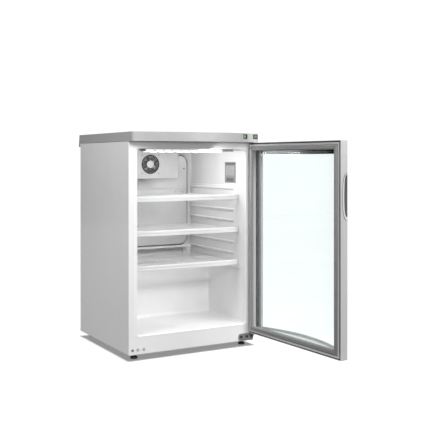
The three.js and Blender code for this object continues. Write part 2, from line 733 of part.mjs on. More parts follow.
// The tongue of a hinge plate: it reaches forward from y0 and is rounded about the pin.
function hingeArm(y0, z0, z1) {
  const { armHalf } = BRACKET;
  return extrudeUp(outline([
    [HINGE.x - armHalf, y0], ...arcPoints(HINGE.x, HINGE.y, armHalf, Math.PI, 2 * Math.PI, 8),
    [HINGE.x + armHalf, y0],
  ]), z0, z1);
}

function addLowerHinge() {
  const { left, right, bottom, top, corner, thickness } = BRACKET;
  const plate = extrudeBack(roundedRectangle(left, right, bottom, top, corner), -thickness - GAP, -GAP);
  const arm = hingeArm(-2, top - thickness - 0.5, top - 0.5);
  const holes = BOLTS.map((x) => rod(x, BOLT.z, BOLT.radius + GAP, -10, 2, 12));
  const seat = pillar(HINGE.x, HINGE.y, HINGE.pin + GAP, top - 10, top + 10, 16);
  place('lower_hinge_bracket', cut(join(plate, arm), ...holes, seat), greySteel);
  BOLTS.forEach((x, index) => place(`hinge_bolt_${index + 1}`, hexBolt(x), blackSteel));

  const collar = 6;
  const pin = join(
    pillar(HINGE.x, HINGE.y, HINGE.pin, top - 5, RAIL.sill - 4, 24),
    pillar(HINGE.x, HINGE.y, collar, top - 7.5, top - thickness - 0.8, 24),
  );
  place('lower_hinge_pin', pin, blackSteel);
}

function addUpperHinge() {
  const thickness = 2;
  const z0 = WORKTOP.bottom + 0.2;
  const bracket = join(
    box(HINGE.x - 27, HINGE.x + 10, -2, 30, z0, z0 + thickness),
    hingeArm(0, z0, z0 + thickness),
    pillar(HINGE.x, HINGE.y, HINGE.pin, RAIL.head - 4, z0 + 1, 24),
  );
  place('upper_hinge_bracket', bracket, greySteel);
}

function addPlugs() {
  PLUGS.forEach((x, index) => {
    const cap = rod(x, BOLT.z, PLUG.radius, -PLUG.proud, -GAP, 16);
    const stem = rod(x, BOLT.z, PLUG.stem, -PLUG.proud + 0.8, PLUG.tip, 10);
    place(`hole_plug_${index + 1}`, join(cap, stem), greyPlastic);
  });
}

// ---------------------------------------------------------------- door
// Plan outline of the full door: flat inner face, bowed outer face, hinge edge rounded about the pin.
function doorPlan() {
  const outer = DOOR.inner - DOOR.edge;
  const reach = DOOR.halfWidth - HINGE.x;
  const innerAngle = Math.atan2(DOOR.inner - HINGE.y, reach - 6);
  return [
    [-DOOR.halfWidth, DOOR.inner],
    [-DOOR.halfWidth, outer + 3],
    [-DOOR.halfWidth + 3, outer],
    ...bowLine(-BOW.halfChord, BOW.halfChord, outer, 24),
    [HINGE.x + 8, outer],
    [DOOR.halfWidth, outer + 6],
    [DOOR.halfWidth, HINGE.y - 1],
    ...arcPoints(HINGE.x, HINGE.y, reach, 0, innerAngle, 4),
    [HINGE.x + Math.sqrt(HINGE.sweep ** 2 - (DOOR.inner - HINGE.y) ** 2) - 3, DOOR.inner],
  ];
}

function doorBlock(z0, z1) {
  return extrudeUp(outline(doorPlan()), z0, z1);
}

// Space between the inner lip and the bowed outer lip of a rail.
function railPocket(z0, z1, lipInner) {
  const outer = DOOR.inner - DOOR.edge + RAIL.lip;
  const line = bowLine(-BOW.halfChord, BOW.halfChord, outer, 24);
  const inside = DOOR.inner - lipInner;
  const reach = BOW.halfChord + FRAME.groove;
  const rebate = DOOR.inner - FRAME.rebate - GAP;
  return extrudeUp(outline([
    [-reach, inside], [-reach, rebate], [-BOW.halfChord, rebate], ...line,
    [BOW.halfChord, rebate], [reach, rebate], [reach, inside],
  ]), z0, z1);
}

function pinBore() {
  return pillar(HINGE.x, HINGE.y, HINGE.bore, 0, 67.5, 24);
}

function addRails() {
  const bottomRail = cut(
    doorBlock(DOOR.bottom, RAIL.bottomTop),
    railPocket(RAIL.sill, BIG, FRAME.lipInner),
    pinBore(),
  );
  place('door_bottom_rail', bottomRail, silver, door);

  const opening = DOOR.halfWidth - FRAME.stile;
  const window = box(-opening, opening, DOOR.inner - FRAME.lipInner - SMALL, 0, 0, RAIL.topInner);
  const upperBore = pillar(HINGE.x, HINGE.y, HINGE.bore, 794, BIG, 24);
  const topRail = cut(
    doorBlock(RAIL.topLip, DOOR.top),
    railPocket(0, RAIL.head, FRAME.lipInner),
    window,
    upperBore,
  );
  place('door_top_rail', topRail, silver, door);
}

// Everything that is cut out of the full door block to leave the stile on one side.
function stileCuts(side) {
  const opening = DOOR.halfWidth - FRAME.stile;
  const glassEdge = BOW.halfChord + FRAME.groove;
  const lipBack = DOOR.inner - FRAME.lipInner;
  const grooveBack = DOOR.inner - FRAME.rebate;
  const window = box(-opening, opening, lipBack, 0, 0, BIG);
  const groove = box(-glassEdge, glassEdge, grooveBack - GAP, lipBack, 0, BIG);
  const bowed = box(-BOW.halfChord, BOW.halfChord, -BIG, grooveBack, 0, BIG);
  const otherHalf = side > 0 ? box(-BIG, 0, -BIG, BIG, 0, BIG) : box(0, BIG, -BIG, BIG, 0, BIG);
  return [window, groove, bowed, otherHalf];
}

function addStiles() {
  const block = doorBlock(RAIL.bottomTop + GAP, RAIL.topLip - GAP);
  place('door_hinge_stile', cut(block, ...stileCuts(1)), silver, door);

  const { bottom, top, root, width, lip } = HANDLE;
  const pocket = handleShape(bottom - GAP, top + GAP, root - GAP, width + GAP);
  place('door_handle_stile', cut(block, ...stileCuts(-1), pocket), silver, door);
  const insert = handleShape(bottom, top, root, width);
  const scoop = handleShape(HANDLE.scoopBottom, HANDLE.scoopTop, HANDLE.scoopRoot, HANDLE.scoop, lip);
  const trimmed = solid(insert).intersect(solid(doorBlock(bottom - SMALL, top + SMALL)));
  place('door_handle', geometryOf(trimmed.subtract(solid(scoop))), greyPlastic, door);
}

// A bow-shaped slug let into the free edge of the door; it ends short of the outer face by the lip.
function handleShape(bottom, top, root, width, lip = -SMALL) {
  const middle = (bottom + top) / 2;
  const half = (top - bottom) / 2;
  const outer = DOOR.inner - DOOR.edge + lip;
  const depth = DOOR.inner - root - outer;
  const points = Array.from({ length: 13 }, (_, index) => {
    const angle = (index / 12) * Math.PI;
    return [outer + depth * Math.sin(angle) ** 0.55, middle + half * Math.cos(angle)];
  });
  return extrudeAcross(outline(points), -DOOR.halfWidth - SMALL, -DOOR.halfWidth + width);
}

function addGlass() {
  const halfWidth = BOW.halfChord + FRAME.groove - GAP;
  const z0 = RAIL.sill + GAP;
  const z1 = RAIL.head - GAP;
  const pane = (name, near) => {
    const y1 = DOOR.inner - near;
    place(name, box(-halfWidth, halfWidth, y1 - PANE.thickness, y1, z0, z1), glass, door);
  };
  const inner = FRAME.lipInner + GAP;
  pane('glass_inner', inner);
  pane('glass_middle', FRAME.rebate - PANE.thickness);

  const near = DOOR.inner - inner - PANE.thickness - GAP;
  const far = DOOR.inner - FRAME.rebate + PANE.thickness + GAP;
  const width = PANE.spacer;
  const hole = rectangle(-halfWidth + width, halfWidth - width, z0 + width, z1 - width).reverse();
  const spacer = outline(rectangle(-halfWidth, halfWidth, z0, z1), [hole]);
  place('glass_spacer', extrudeBack(spacer, far, near), aluminium, door);

  const reach = BOW.halfChord - GAP;
  const face = DOOR.inner - DOOR.edge + RAIL.lip + GAP;
  const front = bowLine(-reach, reach, face, 20);
  const rear = bowLine(-reach, reach, face + PANE.thickness, 20).reverse();
  place('glass_outer', extrudeUp(outline([...front, ...rear]), z0, z1), glass, door);
}

function addGasket() {
  const outerX = DOOR.halfWidth - GASKET.inset;
  const z0 = DOOR.bottom + GASKET.inset;
  const z1 = DOOR.top - GASKET.inset;
  const width = GASKET.width;
  const hole = rectangle(-outerX + width, outerX - width, z0 + width, z1 - width).reverse();
  const frame = outline(rectangle(-outerX, outerX, z0, z1), [hole]);
  place('door_gasket', extrudeBack(frame, DOOR.inner + GAP, GASKET.outer), gasketGrey, door);
}

// ---------------------------------------------------------------- assembly
addShell();
addBackAndBase();
addFoam();
addLiner();
addWorktop();
addLamp();
addFan();
addEvaporator();
addDrain();
addLabel();
SHELF.ribs.forEach((level, index) => addShelf(index + 1, level));
addCompressor();
addTray();
addPipes();
addGland();
addFeet();
addLowerHinge();
addUpperHinge();
addPlugs();
addRails();
addStiles();
addGlass();
addGasket();

// The door is drawn closed and turned open about the hinge pins.
const hinge = new THREE.Group();
hinge.position.set(HINGE.x, HINGE.y, 0);
hinge.rotation.z = THREE.MathUtils.degToRad(DOOR.openAngle);
door.position.set(-HINGE.x, -HINGE.y, 0);
hinge.add(door);
cabinet.add(hinge);
fridge.add(cabinet);

const bounds = new THREE.Box3().setFromObject(fridge, true);
const centre = bounds.getCenter(new THREE.Vector3());
cabinet.position.set(-centre.x, -centre.y, -bounds.min.z);

export default fridge;
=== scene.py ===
# Looks of an under counter display fridge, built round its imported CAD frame.
# Shapes are drawn in millimetres in the cabinet's own frame: x from its middle, y back from its front
# sheet, z up from the floor. Pieces of the door are drawn with it closed and then turned open with it.
import json
import math
from collections import namedtuple

import bmesh
import bpy
from mathutils import Matrix, Vector


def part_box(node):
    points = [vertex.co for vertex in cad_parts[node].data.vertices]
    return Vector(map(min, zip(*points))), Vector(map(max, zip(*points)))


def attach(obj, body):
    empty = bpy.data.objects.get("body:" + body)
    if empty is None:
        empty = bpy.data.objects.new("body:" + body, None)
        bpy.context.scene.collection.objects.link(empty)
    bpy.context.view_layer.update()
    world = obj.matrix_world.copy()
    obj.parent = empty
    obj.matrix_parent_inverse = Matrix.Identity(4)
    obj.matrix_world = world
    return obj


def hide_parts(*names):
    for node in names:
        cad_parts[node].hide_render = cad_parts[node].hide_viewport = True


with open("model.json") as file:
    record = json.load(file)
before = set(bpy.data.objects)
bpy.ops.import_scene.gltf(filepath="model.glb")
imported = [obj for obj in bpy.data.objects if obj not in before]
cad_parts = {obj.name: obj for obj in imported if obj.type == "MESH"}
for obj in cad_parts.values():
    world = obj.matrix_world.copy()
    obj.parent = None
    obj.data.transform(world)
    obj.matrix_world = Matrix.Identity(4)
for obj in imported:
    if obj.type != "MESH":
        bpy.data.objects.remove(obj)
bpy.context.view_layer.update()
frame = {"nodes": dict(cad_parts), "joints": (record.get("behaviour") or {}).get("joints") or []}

MM = 0.001

# ---------- places, from the frame
shell_low, shell_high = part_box("outer_shell")
CABINET = Matrix.Translation(((shell_low.x + shell_high.x) / 2, shell_low.y, 0)) @ Matrix.Scale(MM, 4)

door_joint = next(joint for joint in frame["joints"] if joint["name"] == "door_hinge")
hinge_point = Vector(door_joint["pos_m"])
open_angle = math.radians(-door_joint["range_deg"][0])
DOOR = (
    Matrix.Translation(hinge_point) @ Matrix.Rotation(open_angle, 4, "Z")
    @ Matrix.Translation(-hinge_point) @ CABINET
)

Extent = namedtuple("Extent", "x0 y0 z0 x1 y1 z1")


def extent(node, place=CABINET):
    """The box of a CAD node in the millimetres that its piece is drawn in."""
    back = place.inverted()
    points = [back @ vertex.co for vertex in frame["nodes"][node].data.vertices]
    low = [min(point[axis] for point in points) for axis in range(3)]
    high = [max(point[axis] for point in points) for axis in range(3)]
    return Extent(*low, *high)


def centre(box):
    """The middle of a box along x, y and z."""
    return (box.x0 + box.x1) / 2, (box.y0 + box.y1) / 2, (box.z0 + box.z1) / 2


# ---------- materials
def linear(level):
    """A grey or colour on the screen's 0 to 255 scale as the light it stands for."""
    levels = level if isinstance(level, (tuple, list)) else (level,) * 3
    parts = [value / 255 for value in levels]
    return [part / 12.92 if part <= 0.04045 else ((part + 0.055) / 1.055) ** 2.4 for part in parts]


def noise(material, vector, scale, detail):
    """A noise texture read at the vector; its value goes from 0 to 1."""
    texture = material.node_tree.nodes.new("ShaderNodeTexNoise")
    texture.inputs["Scale"].default_value = scale
    texture.inputs["Detail"].default_value = detail
    material.node_tree.links.new(vector, texture.inputs["Vector"])
    return texture.outputs["Fac"]


def ranged(material, value, low, high):
    """A value of 0 to 1 as one from low to high."""
    spread = material.node_tree.nodes.new("ShaderNodeMapRange")
    spread.inputs["To Min"].default_value = low
    spread.inputs["To Max"].default_value = high
    material.node_tree.links.new(value, spread.inputs["Value"])
    return spread.outputs["Result"]


SLOW_DETAIL, FINE_DETAIL = 4, 2
TINT_STOPS = 0.3, 0.7
# How far the roughness strays from its level, and the depth of the relief against its size.
ROUGH_SPREAD, RELIEF_SHARE = 0.15, 0.3


def look(
    name, colour, rough, metal=0.0, mottle=0.03, patch=40.0, grain=0.1, grain_size=0.5,
    stretch=(1, 1, 1), coat=0.0, **shader,
):
    """A procedural finish.

    patch is the size of its slow colour changes and grain_size that of its relief, in mm.
    """
    material = bpy.data.materials.new(name)
    material.use_nodes = True
    nodes, links = material.node_tree.nodes, material.node_tree.links
    surface = nodes["Principled BSDF"]
    surface.inputs["Metallic"].default_value = metal
    surface.inputs["Coat Weight"].default_value = coat
    for key, value in shader.items():
        surface.inputs[key.replace("_", " ")].default_value = value

    where = nodes.new("ShaderNodeTexCoord")
    mapping = nodes.new("ShaderNodeMapping")
    mapping.inputs["Scale"].default_value = stretch
    links.new(where.outputs["Object"], mapping.inputs["Vector"])
    slow = noise(material, mapping.outputs["Vector"], 1 / (patch * MM), SLOW_DETAIL)
    fine = noise(material, mapping.outputs["Vector"], 1 / (grain_size * MM), FINE_DETAIL)

    tint = nodes.new("ShaderNodeValToRGB")
    base = linear(colour)
    for stop, place, factor in zip(tint.color_ramp.elements, TINT_STOPS, (1 - mottle, 1 + mottle)):
        stop.position = place
        stop.color = [min(1.0, part * factor) for part in base] + [1]
    links.new(slow, tint.inputs["Fac"])
    links.new(tint.outputs["Color"], surface.inputs["Base Color"])

    smoothest, roughest = rough * (1 - ROUGH_SPREAD), min(1.0, rough * (1 + ROUGH_SPREAD))
    links.new(ranged(material, slow, smoothest, roughest), surface.inputs["Roughness"])

    relief = nodes.new("ShaderNodeBump")
    relief.inputs["Strength"].default_value = grain
    relief.inputs["Distance"].default_value = grain_size * MM * RELIEF_SHARE
    links.new(fine, relief.inputs["Height"])
    links.new(relief.outputs["Normal"], surface.inputs["Normal"])
    return material


# How late the mirror effect sets in towards a flat angle, and the smears on the glass.
EDGE_POWER, SMEAR_SCALE, SMEAR_ROUGH = 4.0, 9, 0.05


def pane_look(name, tint, head_on, edge_on):
    """Clear glass with faint smears.

    Light goes straight through it, and it mirrors more of what meets it at a flat angle.
    """
    material = bpy.data.materials.new(name)
    material.use_nodes = True
    nodes, links = material.node_tree.nodes, material.node_tree.links
    nodes.remove(nodes["Principled BSDF"])
    clear = nodes.new("ShaderNodeBsdfTransparent")
    clear.inputs["Color"].default_value = [*tint, 1]

    mirror = nodes.new("ShaderNodeBsdfGlossy")
    where = nodes.new("ShaderNodeTexCoord")
    smears = noise(material, where.outputs["Object"], SMEAR_SCALE, FINE_DETAIL)
    links.new(ranged(material, smears, 0.0, SMEAR_ROUGH), mirror.inputs["Roughness"])

    facing = nodes.new("ShaderNodeLayerWeight")
    slope = nodes.new("ShaderNodeMath")
    slope.operation = "POWER"
    slope.inputs[1].default_value = EDGE_POWER
    links.new(facing.outputs["Facing"], slope.inputs[0])

    blend = nodes.new("ShaderNodeMixShader")
    links.new(ranged(material, slope.outputs["Value"], head_on, edge_on), blend.inputs["Fac"])
    links.new(clear.outputs["BSDF"], blend.inputs[1])
    links.new(mirror.outputs["BSDF"], blend.inputs[2])
    links.new(blend.outputs["Shader"], nodes["Material Output"].inputs["Surface"])
    return material


SILVER_FINISH = {"rough": 0.36, "metal": 0.35, "mottle": 0.03, "patch": 60, "grain": 0.1}

WHITE_STEEL = look(
    "white_powder_coat", 232, 0.38, mottle=0.015, patch=120, grain=0.12, grain_size=1.6, coat=0.15,
)
LINER = look("thermoformed_liner", 236, 0.3, mottle=0.015, patch=60, grain=0.06, grain_size=9.0)
WORKTOP = look("worktop_plastic", 190, 0.36, metal=0.3, mottle=0.02, patch=25, grain=0.3, grain_size=0.7)
SILVER = look("silver_frame", 180, **SILVER_FINISH, stretch=(1, 1, 0.05))
SILVER_RAIL = look("silver_rail", 182, **SILVER_FINISH, stretch=(1, 0.05, 1))
GASKET = look("gasket_rubber", 136, 0.62, mottle=0.06, patch=18, grain=0.3, grain_size=0.8)
# Near black ring behind the evaporator plate's edge: painted shade of the gap behind the plate.
PLATE_EDGE_SHADE = look("plate_edge_painted_shade", 88, 0.6, mottle=0.06, patch=12, grain=0.3, grain_size=0.6)
# Near black rubber for the compressor grommets, and painted shade for the fin in the door's groove and the
# line round the handle insert.
DARK_RUBBER_AND_SHADE = look("dark_rubber_and_painted_shade", 52, 0.7, mottle=0.08, patch=12, grain=0.3, grain_size=0.6)
BLACK = look("black_plastic", 40, 0.45, mottle=0.12, patch=10, grain=0.35)
GREY = look("grey_plastic", 140, 0.45, mottle=0.05, patch=14, grain=0.3)
WHITE_PLASTIC = look("white_plastic", 232, 0.3, mottle=0.015, patch=30, grain=0.1, grain_size=0.8, coat=0.2)
WIRE = look("coated_wire", 236, 0.32, mottle=0.02, patch=9, grain=0.25, grain_size=1.2, coat=0.3)
ALUMINIUM = look(
    "evaporator_aluminium", 221, 0.2, metal=0.55, mottle=0.03, patch=45, grain=0.06, grain_size=2.0,
)
SPACER = look("spacer_aluminium", 150, 0.16, metal=0.9, mottle=0.35, patch=9, grain=0.9, grain_size=9.0)
# A silver painted brighter than the frame: painted highlight on the rail's top, the bead and the handle's
# rim.
SILVER_HIGHLIGHT = look("silver_painted_highlight", 196, 0.3, metal=0.3, mottle=0.03, patch=30, grain=0.08)
# The handle's grey plastic darkened in its scoop: painted shade of the recess.
HANDLE_SCOOP_SHADE = look("scoop_grey_painted_shade", 150, 0.5, mottle=0.05, patch=14, grain=0.3)
FOIL = look("label_foil", 158, 0.35, metal=0.4, mottle=0.06, patch=9, grain=0.3)
LABEL_INK = look("label_ink", 112, 0.5, mottle=0.16, patch=3, grain=0.2)
LABEL_PALE = look("label_field", 172, 0.45, mottle=0.05, patch=4, grain=0.2)
GALVANISED = look(
    "galvanised_steel", 165, 0.42, metal=0.75, mottle=0.14, patch=14, grain=0.15, grain_size=2.5,
)
HINGE_STEEL = look("hinge_steel", 126, 0.4, metal=0.5, mottle=0.06, patch=9, grain=0.25)
BLACK_STEEL = look(
    "black_enamel", 34, 0.36, metal=0.1, mottle=0.15, patch=22, grain=0.2, grain_size=1.2, coat=0.2,
)
COPPER = look(
    "copper_tube", (196, 124, 84), 0.34, metal=0.95, mottle=0.16, patch=12, grain=0.15, grain_size=0.8,
)
FOAM = look("polyurethane_foam", (216, 203, 148), 0.9, mottle=0.12, patch=8, grain=0.8, grain_size=1.4)
GREEN = look(
    "green_rocker", (128, 196, 116), 0.25, mottle=0.08, patch=6, grain=0.1, grain_size=0.6, coat=0.4,
    Emission_Color=(0.3, 0.6, 0.25, 1), Emission_Strength=0.12,
)
DISPLAY = look("display_window", 120, 0.12, mottle=0.1, patch=5, grain=0.05, coat=0.6)
DIFFUSER = look(
    "lamp_diffuser", 250, 0.3, mottle=0.01, patch=20, grain=0.2, grain_size=1.0,
    Emission_Color=(1, 1, 1, 1), Emission_Strength=1.2,
)
TRIM_PLASTIC = look("trim_plastic", 225, 0.3, mottle=0.015, patch=30, grain=0.1, grain_size=0.8, coat=0.2)
FAN_COVER = look("fan_cover_plastic", 196, 0.4, mottle=0.02, patch=30, grain=0.15, grain_size=0.8)
FAN_BLACK = look("fan_plastic", 16, 0.6, mottle=0.1, patch=10, grain=0.3)
CHIP = look("led_chip", 135, 0.3, mottle=0.03, patch=2, grain=0.1, grain_size=0.4)
CHROME = look("chromed_wire", 188, 0.3, metal=0.15, mottle=0.04, patch=6, grain=0.08, grain_size=0.4)
PLUG_RIM = look("plug_plastic", 118, 0.45, mottle=0.05, patch=6, grain=0.2, grain_size=0.4)
FAN_DISC = look("fan_disc", 205, 0.4, mottle=0.03, patch=8, grain=0.2)
GLASS = pane_look("clear_glass", (0.988, 1.0, 1.0), 0.008, 0.3)


# ---------- shapes: points and the faces between them
def merge(*shapes):
    """Several shapes as one."""
    points, faces = [], []
    for more_points, more_faces in shapes:
        start = len(points)
        points += more_points
        faces += [[start + index for index in face] for face in more_faces]
    return points, faces


def on_axis(axis, u, v, w):
    """A point drawn as u, v with w along the axis: (y, z) across x, (x, z) across y or (x, y) up z."""
    return {"x": (w, u, v), "y": (u, w, v), "z": (u, v, w)}[axis]


def loft(rings, closed=False):
    """Joins rings of equal length; the ends are capped unless the last ring joins the first."""
    count = len(rings[0])
    points = [point for ring in rings for point in ring]
    faces = []
    for level in range(len(rings) if closed else len(rings) - 1):
        low, high = level * count, (level + 1) % len(rings) * count
        for index in range(count):
            after = (index + 1) % count
            faces.append([low + index, low + after, high + after, high + index])
    if not closed:
        faces.append(list(range(count))[::-1])
        faces.append(list(range(len(points) - count, len(points))))
    return points, faces


def prism(outline, axis, start, end):
    """An outline carried along an axis."""
    return loft([[on_axis(axis, u, v, w) for u, v in outline] for w in (start, end)])


def block(x0, x1, y0, y1, z0, z1):
    """A box between three pairs of places."""
    return prism([(x0, y0), (x1, y0), (x1, y1), (x0, y1)], "z", z0, z1)


def arc(u, v, radius, start, end, steps):
    """Points of an arc; the angles are in degrees."""
    angles = [math.radians(start + (end - start) * index / steps) for index in range(steps + 1)]
    return [(u + radius * math.cos(angle), v + radius * math.sin(angle)) for angle in angles]


def rounded(u0, u1, v0, v1, radius, steps=6):
    """The outline of a rectangle with rounded corners."""
    corners = [
        (u1 - radius, v0 + radius, -90), (u1 - radius, v1 - radius, 0),
        (u0 + radius, v1 - radius, 90), (u0 + radius, v0 + radius, 180),
    ]
    return [point for u, v, angle in corners for point in arc(u, v, radius, angle, angle + 90, steps)]


def circle(u, v, radius, count=24):
    """The outline of a circle."""
    return arc(u, v, radius, 0, 360, count)[:-1]


def rod(axis, u, v, radius, start, end):
    """A round bar along an axis."""
    return prism(circle(u, v, radius), axis, start, end)


# The radius that stands for a point on the axis.
POINT_RADIUS = 1e-3


def turned(axis, u, v, profile, count=32, closed=False):
    """A turned piece; the profile is a list of (radius, place along the axis)."""
    rings = []
    for radius, w in profile:
        outline = circle(u, v, max(radius, POINT_RADIUS), count)
        rings.append([on_axis(axis, *point, w) for point in outline])
    return loft(rings, closed)


def tube(path, radius, sides=8, closed=False):
    """A round tube along a path of points."""
    points = [Vector(point) for point in path]
    count = len(points)
    rings, normal = [], None
    for index, point in enumerate(points):
        before = points[(index - 1) % count] if closed or index else point
        after = points[(index + 1) % count] if closed or index < count - 1 else point
        along = (after - before).normalized()
        if normal is None:
            normal = along.orthogonal().normalized()
        normal = (normal - along * normal.dot(along)).normalized()
        side = along.cross(normal)
        rings.append([
            tuple(point + radius * (math.cos(angle) * normal + math.sin(angle) * side))
            for angle in (math.tau * step / sides for step in range(sides))
        ])
    return loft(rings, closed)


def picture_frame(x0, x1, z0, z1, section):
    """A mitred frame round a rectangle seen from the front; its section is a loop of (inset, y)."""
    rings = []
    for inset, y in section:
        left, right, low, high = x0 + inset, x1 - inset, z0 + inset, z1 - inset
        rings.append([(left, y, low), (right, y, low), (right, y, high), (left, y, high)])
    return loft(rings, closed=True)


# ---------- work on shapes
# Points nearer than this are one, in mm, and faces within this many degrees are one flat face.
WELD, FLAT_ANGLE = 0.002, 0.4


def to_mesh(shape, name="work"):
    """A clean mesh of a shape, its faces turned outwards."""
    build = bmesh.new()
    points, faces = shape
    vertices = [build.verts.new(point) for point in points]
    for face in faces:
        build.faces.new([vertices[index] for index in face])
    bmesh.ops.remove_doubles(build, verts=build.verts, dist=WELD)
    bmesh.ops.recalc_face_normals(build, faces=build.faces)
    mesh = bpy.data.meshes.new(name)
    build.to_mesh(mesh)
    build.free()
    return mesh


def from_mesh(mesh):
    """The points and faces of a mesh."""
    return [tuple(vertex.co) for vertex in mesh.vertices], [list(face.vertices) for face in mesh.polygons]


def add(name, data):
    """A new object in the scene."""
    made = bpy.data.objects.new(name, data)
    bpy.context.scene.collection.objects.link(made)
    return made


def with_modifier(shape, kind, **settings):
    """The shape after one Blender modifier."""
    target = add("target", to_mesh(shape))
    modifier = target.modifiers.new(kind, kind)
    for key, value in settings.items():
        setattr(modifier, key, value)
    result = target.evaluated_get(bpy.context.evaluated_depsgraph_get()).to_mesh()
    shape = from_mesh(result)
    bpy.data.objects.remove(target)
    return shape


def soften(shape, width, steps=2, angle=30):
    """Rounds every edge that is sharper than the angle."""
    return with_modifier(
        shape, "BEVEL", width=width, segments=steps, limit_method="ANGLE",
        angle_limit=math.radians(angle), use_clamp_overlap=True,
    )


def combine(shape, operation, *tools):
    """The shape after a boolean operation with each tool in turn."""
    for tool in tools:
        other = add("tool", to_mesh(tool))
        shape = with_modifier(shape, "BOOLEAN", operation=operation, object=other, solver="EXACT")
        bpy.data.objects.remove(other)
    return shape


def cut(shape, *tools):
    """What the tools leave of the shape."""
    return combine(shape, "DIFFERENCE", *tools)


def join(shape, *tools):
    """The shape and the tools as one solid."""
    return combine(shape, "UNION", *tools)


def cad(node, place=CABINET):
    """The CAD node's own shape, with its flat faces made whole."""
    back = place.inverted()
    build = bmesh.new()
    build.from_mesh(frame["nodes"][node].data)
    build.transform(back)
    bmesh.ops.remove_doubles(build, verts=build.verts, dist=WELD)
    bmesh.ops.dissolve_limit(
        build, angle_limit=math.radians(FLAT_ANGLE), use_dissolve_boundaries=False,
        verts=build.verts, edges=build.edges,
    )
    mesh = bpy.data.meshes.new("cad")
    build.to_mesh(mesh)
    build.free()
    return from_mesh(mesh)


def piece(name, shape, material, slot, *stands_for, body="cabinet", place=CABINET, smooth=35):
    """Makes a shape into a piece that rides on a body and stands for CAD nodes."""
    mesh = to_mesh(shape, name)
    mesh.transform(place)
    mesh.shade_smooth()
    mesh.set_sharp_from_angle(angle=math.radians(smooth))
    mesh.materials.append(material)
    made = add(name, mesh)
    weighted = made.modifiers.new("normals", "WEIGHTED_NORMAL")
    weighted.keep_sharp = True
    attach(made, body)
    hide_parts(*stands_for)
    return made


def repaint(material, *nodes):
    """Gives a finish to CAD nodes that keep their own mesh."""
    for node in nodes:
        mesh = frame["nodes"][node].data
        mesh.materials.clear()
        mesh.materials.append(material)


# ---------- cabinet shell and liner
# How far a cutting tool reaches past what it cuts, and a length beyond any part of the fridge.
PAST, FAR = 9.0, 900.0
# Places along the walls are from the front sheet, and heights from the floor.
SHELL_CORNER, SHEET, OPENING_GAP = 3.0, 1.0, 0.3
FLANGE_SIDE, FLANGE_END, FLANGE_CORNER, FLANGE_ROUND = 16.0, 6.0, 5.0, 0.5
LINER_WALL, LINER_CORNER, LINER_BEND, LINER_REACH = 1.5, 8.0, 14.0, 40.0
STEP_FRONT, STEP_TOP, STEP_BEND = 302.0, 300.0, 4.5
BEND_STEPS = 6
FLARE, FLARE_STEPS = 4.0, 6
PAD_THICKNESS, PAD_FRONT, PAD_TAPER, PAD_BOTTOM, PAD_TOP, PAD_ROUND = 5.0, 50.0, 24.0, 301.0, 640.0, 4.0
RIB_COUNT, RIB_PITCH, RIB_LOWEST, RIB_HEIGHT, RIB_SLOPE = 8, 43.8, 312.0, 14.0, 2.0
RIB_FRONT, RIB_TAPER, RIB_BACK = 82.0, 22.0, 450.0
RIB_TIP, RIB_DEPTH, RIB_ROUND = 0.6, 8.0, 2.6

shell = extent("outer_shell")
liner = extent("inner_liner")
CAVITY = Extent(
    liner.x0 + FLANGE_SIDE, 0, liner.z0 + FLANGE_END,
    liner.x1 - FLANGE_SIDE, liner.y1 - LINER_WALL, liner.z1 - FLANGE_END,
)


def shell_sides(inset):
    """The places of the shell's left and right walls, moved in."""
    return shell.x0 + inset, shell.x1 - inset


def build_shell():
    """The painted sheet: a rounded box, open behind and below, with a hole for the liner."""
    outside = soften(block(*shell_sides(0), shell.y0, shell.y1, shell.z0, shell.z1), SHELL_CORNER, 4)
    inside = block(*shell_sides(SHEET), SHEET, shell.y1 + PAST, shell.z0 - PAST, shell.z1 - SHEET)
    opening = block(
        liner.x0 - OPENING_GAP, liner.x1 + OPENING_GAP, -PAST, PAST,
        liner.z0 - OPENING_GAP, liner.z1 + OPENING_GAP,
    )
    sheet = cut(outside, inside, opening)
    return piece("outer_shell_sheet", sheet, WHITE_STEEL, "white_steel", "outer_shell")


def cavity_space(grow, corner):
    """The liner's space, stepped over the compressor, with every corner rounded."""
    front, floor, ceiling = -LINER_REACH, CAVITY.z0 - grow, CAVITY.z1 + grow
    wall, back, step = STEP_FRONT + grow, CAVITY.y1 + grow, STEP_TOP - grow
    bend, edge = LINER_BEND, STEP_BEND - grow
    side = [
        (front, floor), *arc(wall - bend, floor + bend, bend, -90, 0, BEND_STEPS),
        *arc(wall + edge, step - edge, edge, 180, 90, BEND_STEPS),
        *arc(back - bend, step + bend, bend, -90, 0, BEND_STEPS),
        *arc(back - bend, ceiling - bend, bend, 0, 90, BEND_STEPS), (front, ceiling),
    ]
    return soften(prism(side, "x", CAVITY.x0 - grow, CAVITY.x1 + grow), corner, 4, angle=50)


def flare():
    """The trumpet mouth that turns the liner's walls into its front flange."""
    rings = []
    for step in range(FLARE_STEPS + 1):
        angle = math.radians(90 * step / FLARE_STEPS)
        wide = FLARE * (1 - math.cos(angle))
        y = FLARE * (1 - math.sin(angle))
        corner = LINER_CORNER + wide
        outline = rounded(CAVITY.x0 - wide, CAVITY.x1 + wide, CAVITY.z0 - wide, CAVITY.z1 + wide, corner, 5)
        rings.append([(u, y, v) for u, v in outline])
    return loft(rings + [[(x, -PAST, z) for x, y, z in rings[-1]]])


def rib(side, level):
    """A shelf rib that dies away towards its front end."""
    wall = side * (CAVITY.x1 + 1)
    bottom = RIB_LOWEST + RIB_PITCH * level
    top = bottom + RIB_HEIGHT
    rings = []
    for y, depth in ((RIB_FRONT, RIB_TIP), (RIB_FRONT + RIB_TAPER, RIB_DEPTH), (RIB_BACK, RIB_DEPTH)):
        face = side * (CAVITY.x1 - PAD_THICKNESS - depth)
        profile = [(wall, bottom - RIB_SLOPE), (face, bottom + RIB_HEIGHT / 2), (face, top), (wall, top)]
        rings.append([(x, y, z) for x, z in profile])
    return soften(loft(rings), RIB_ROUND, 3)


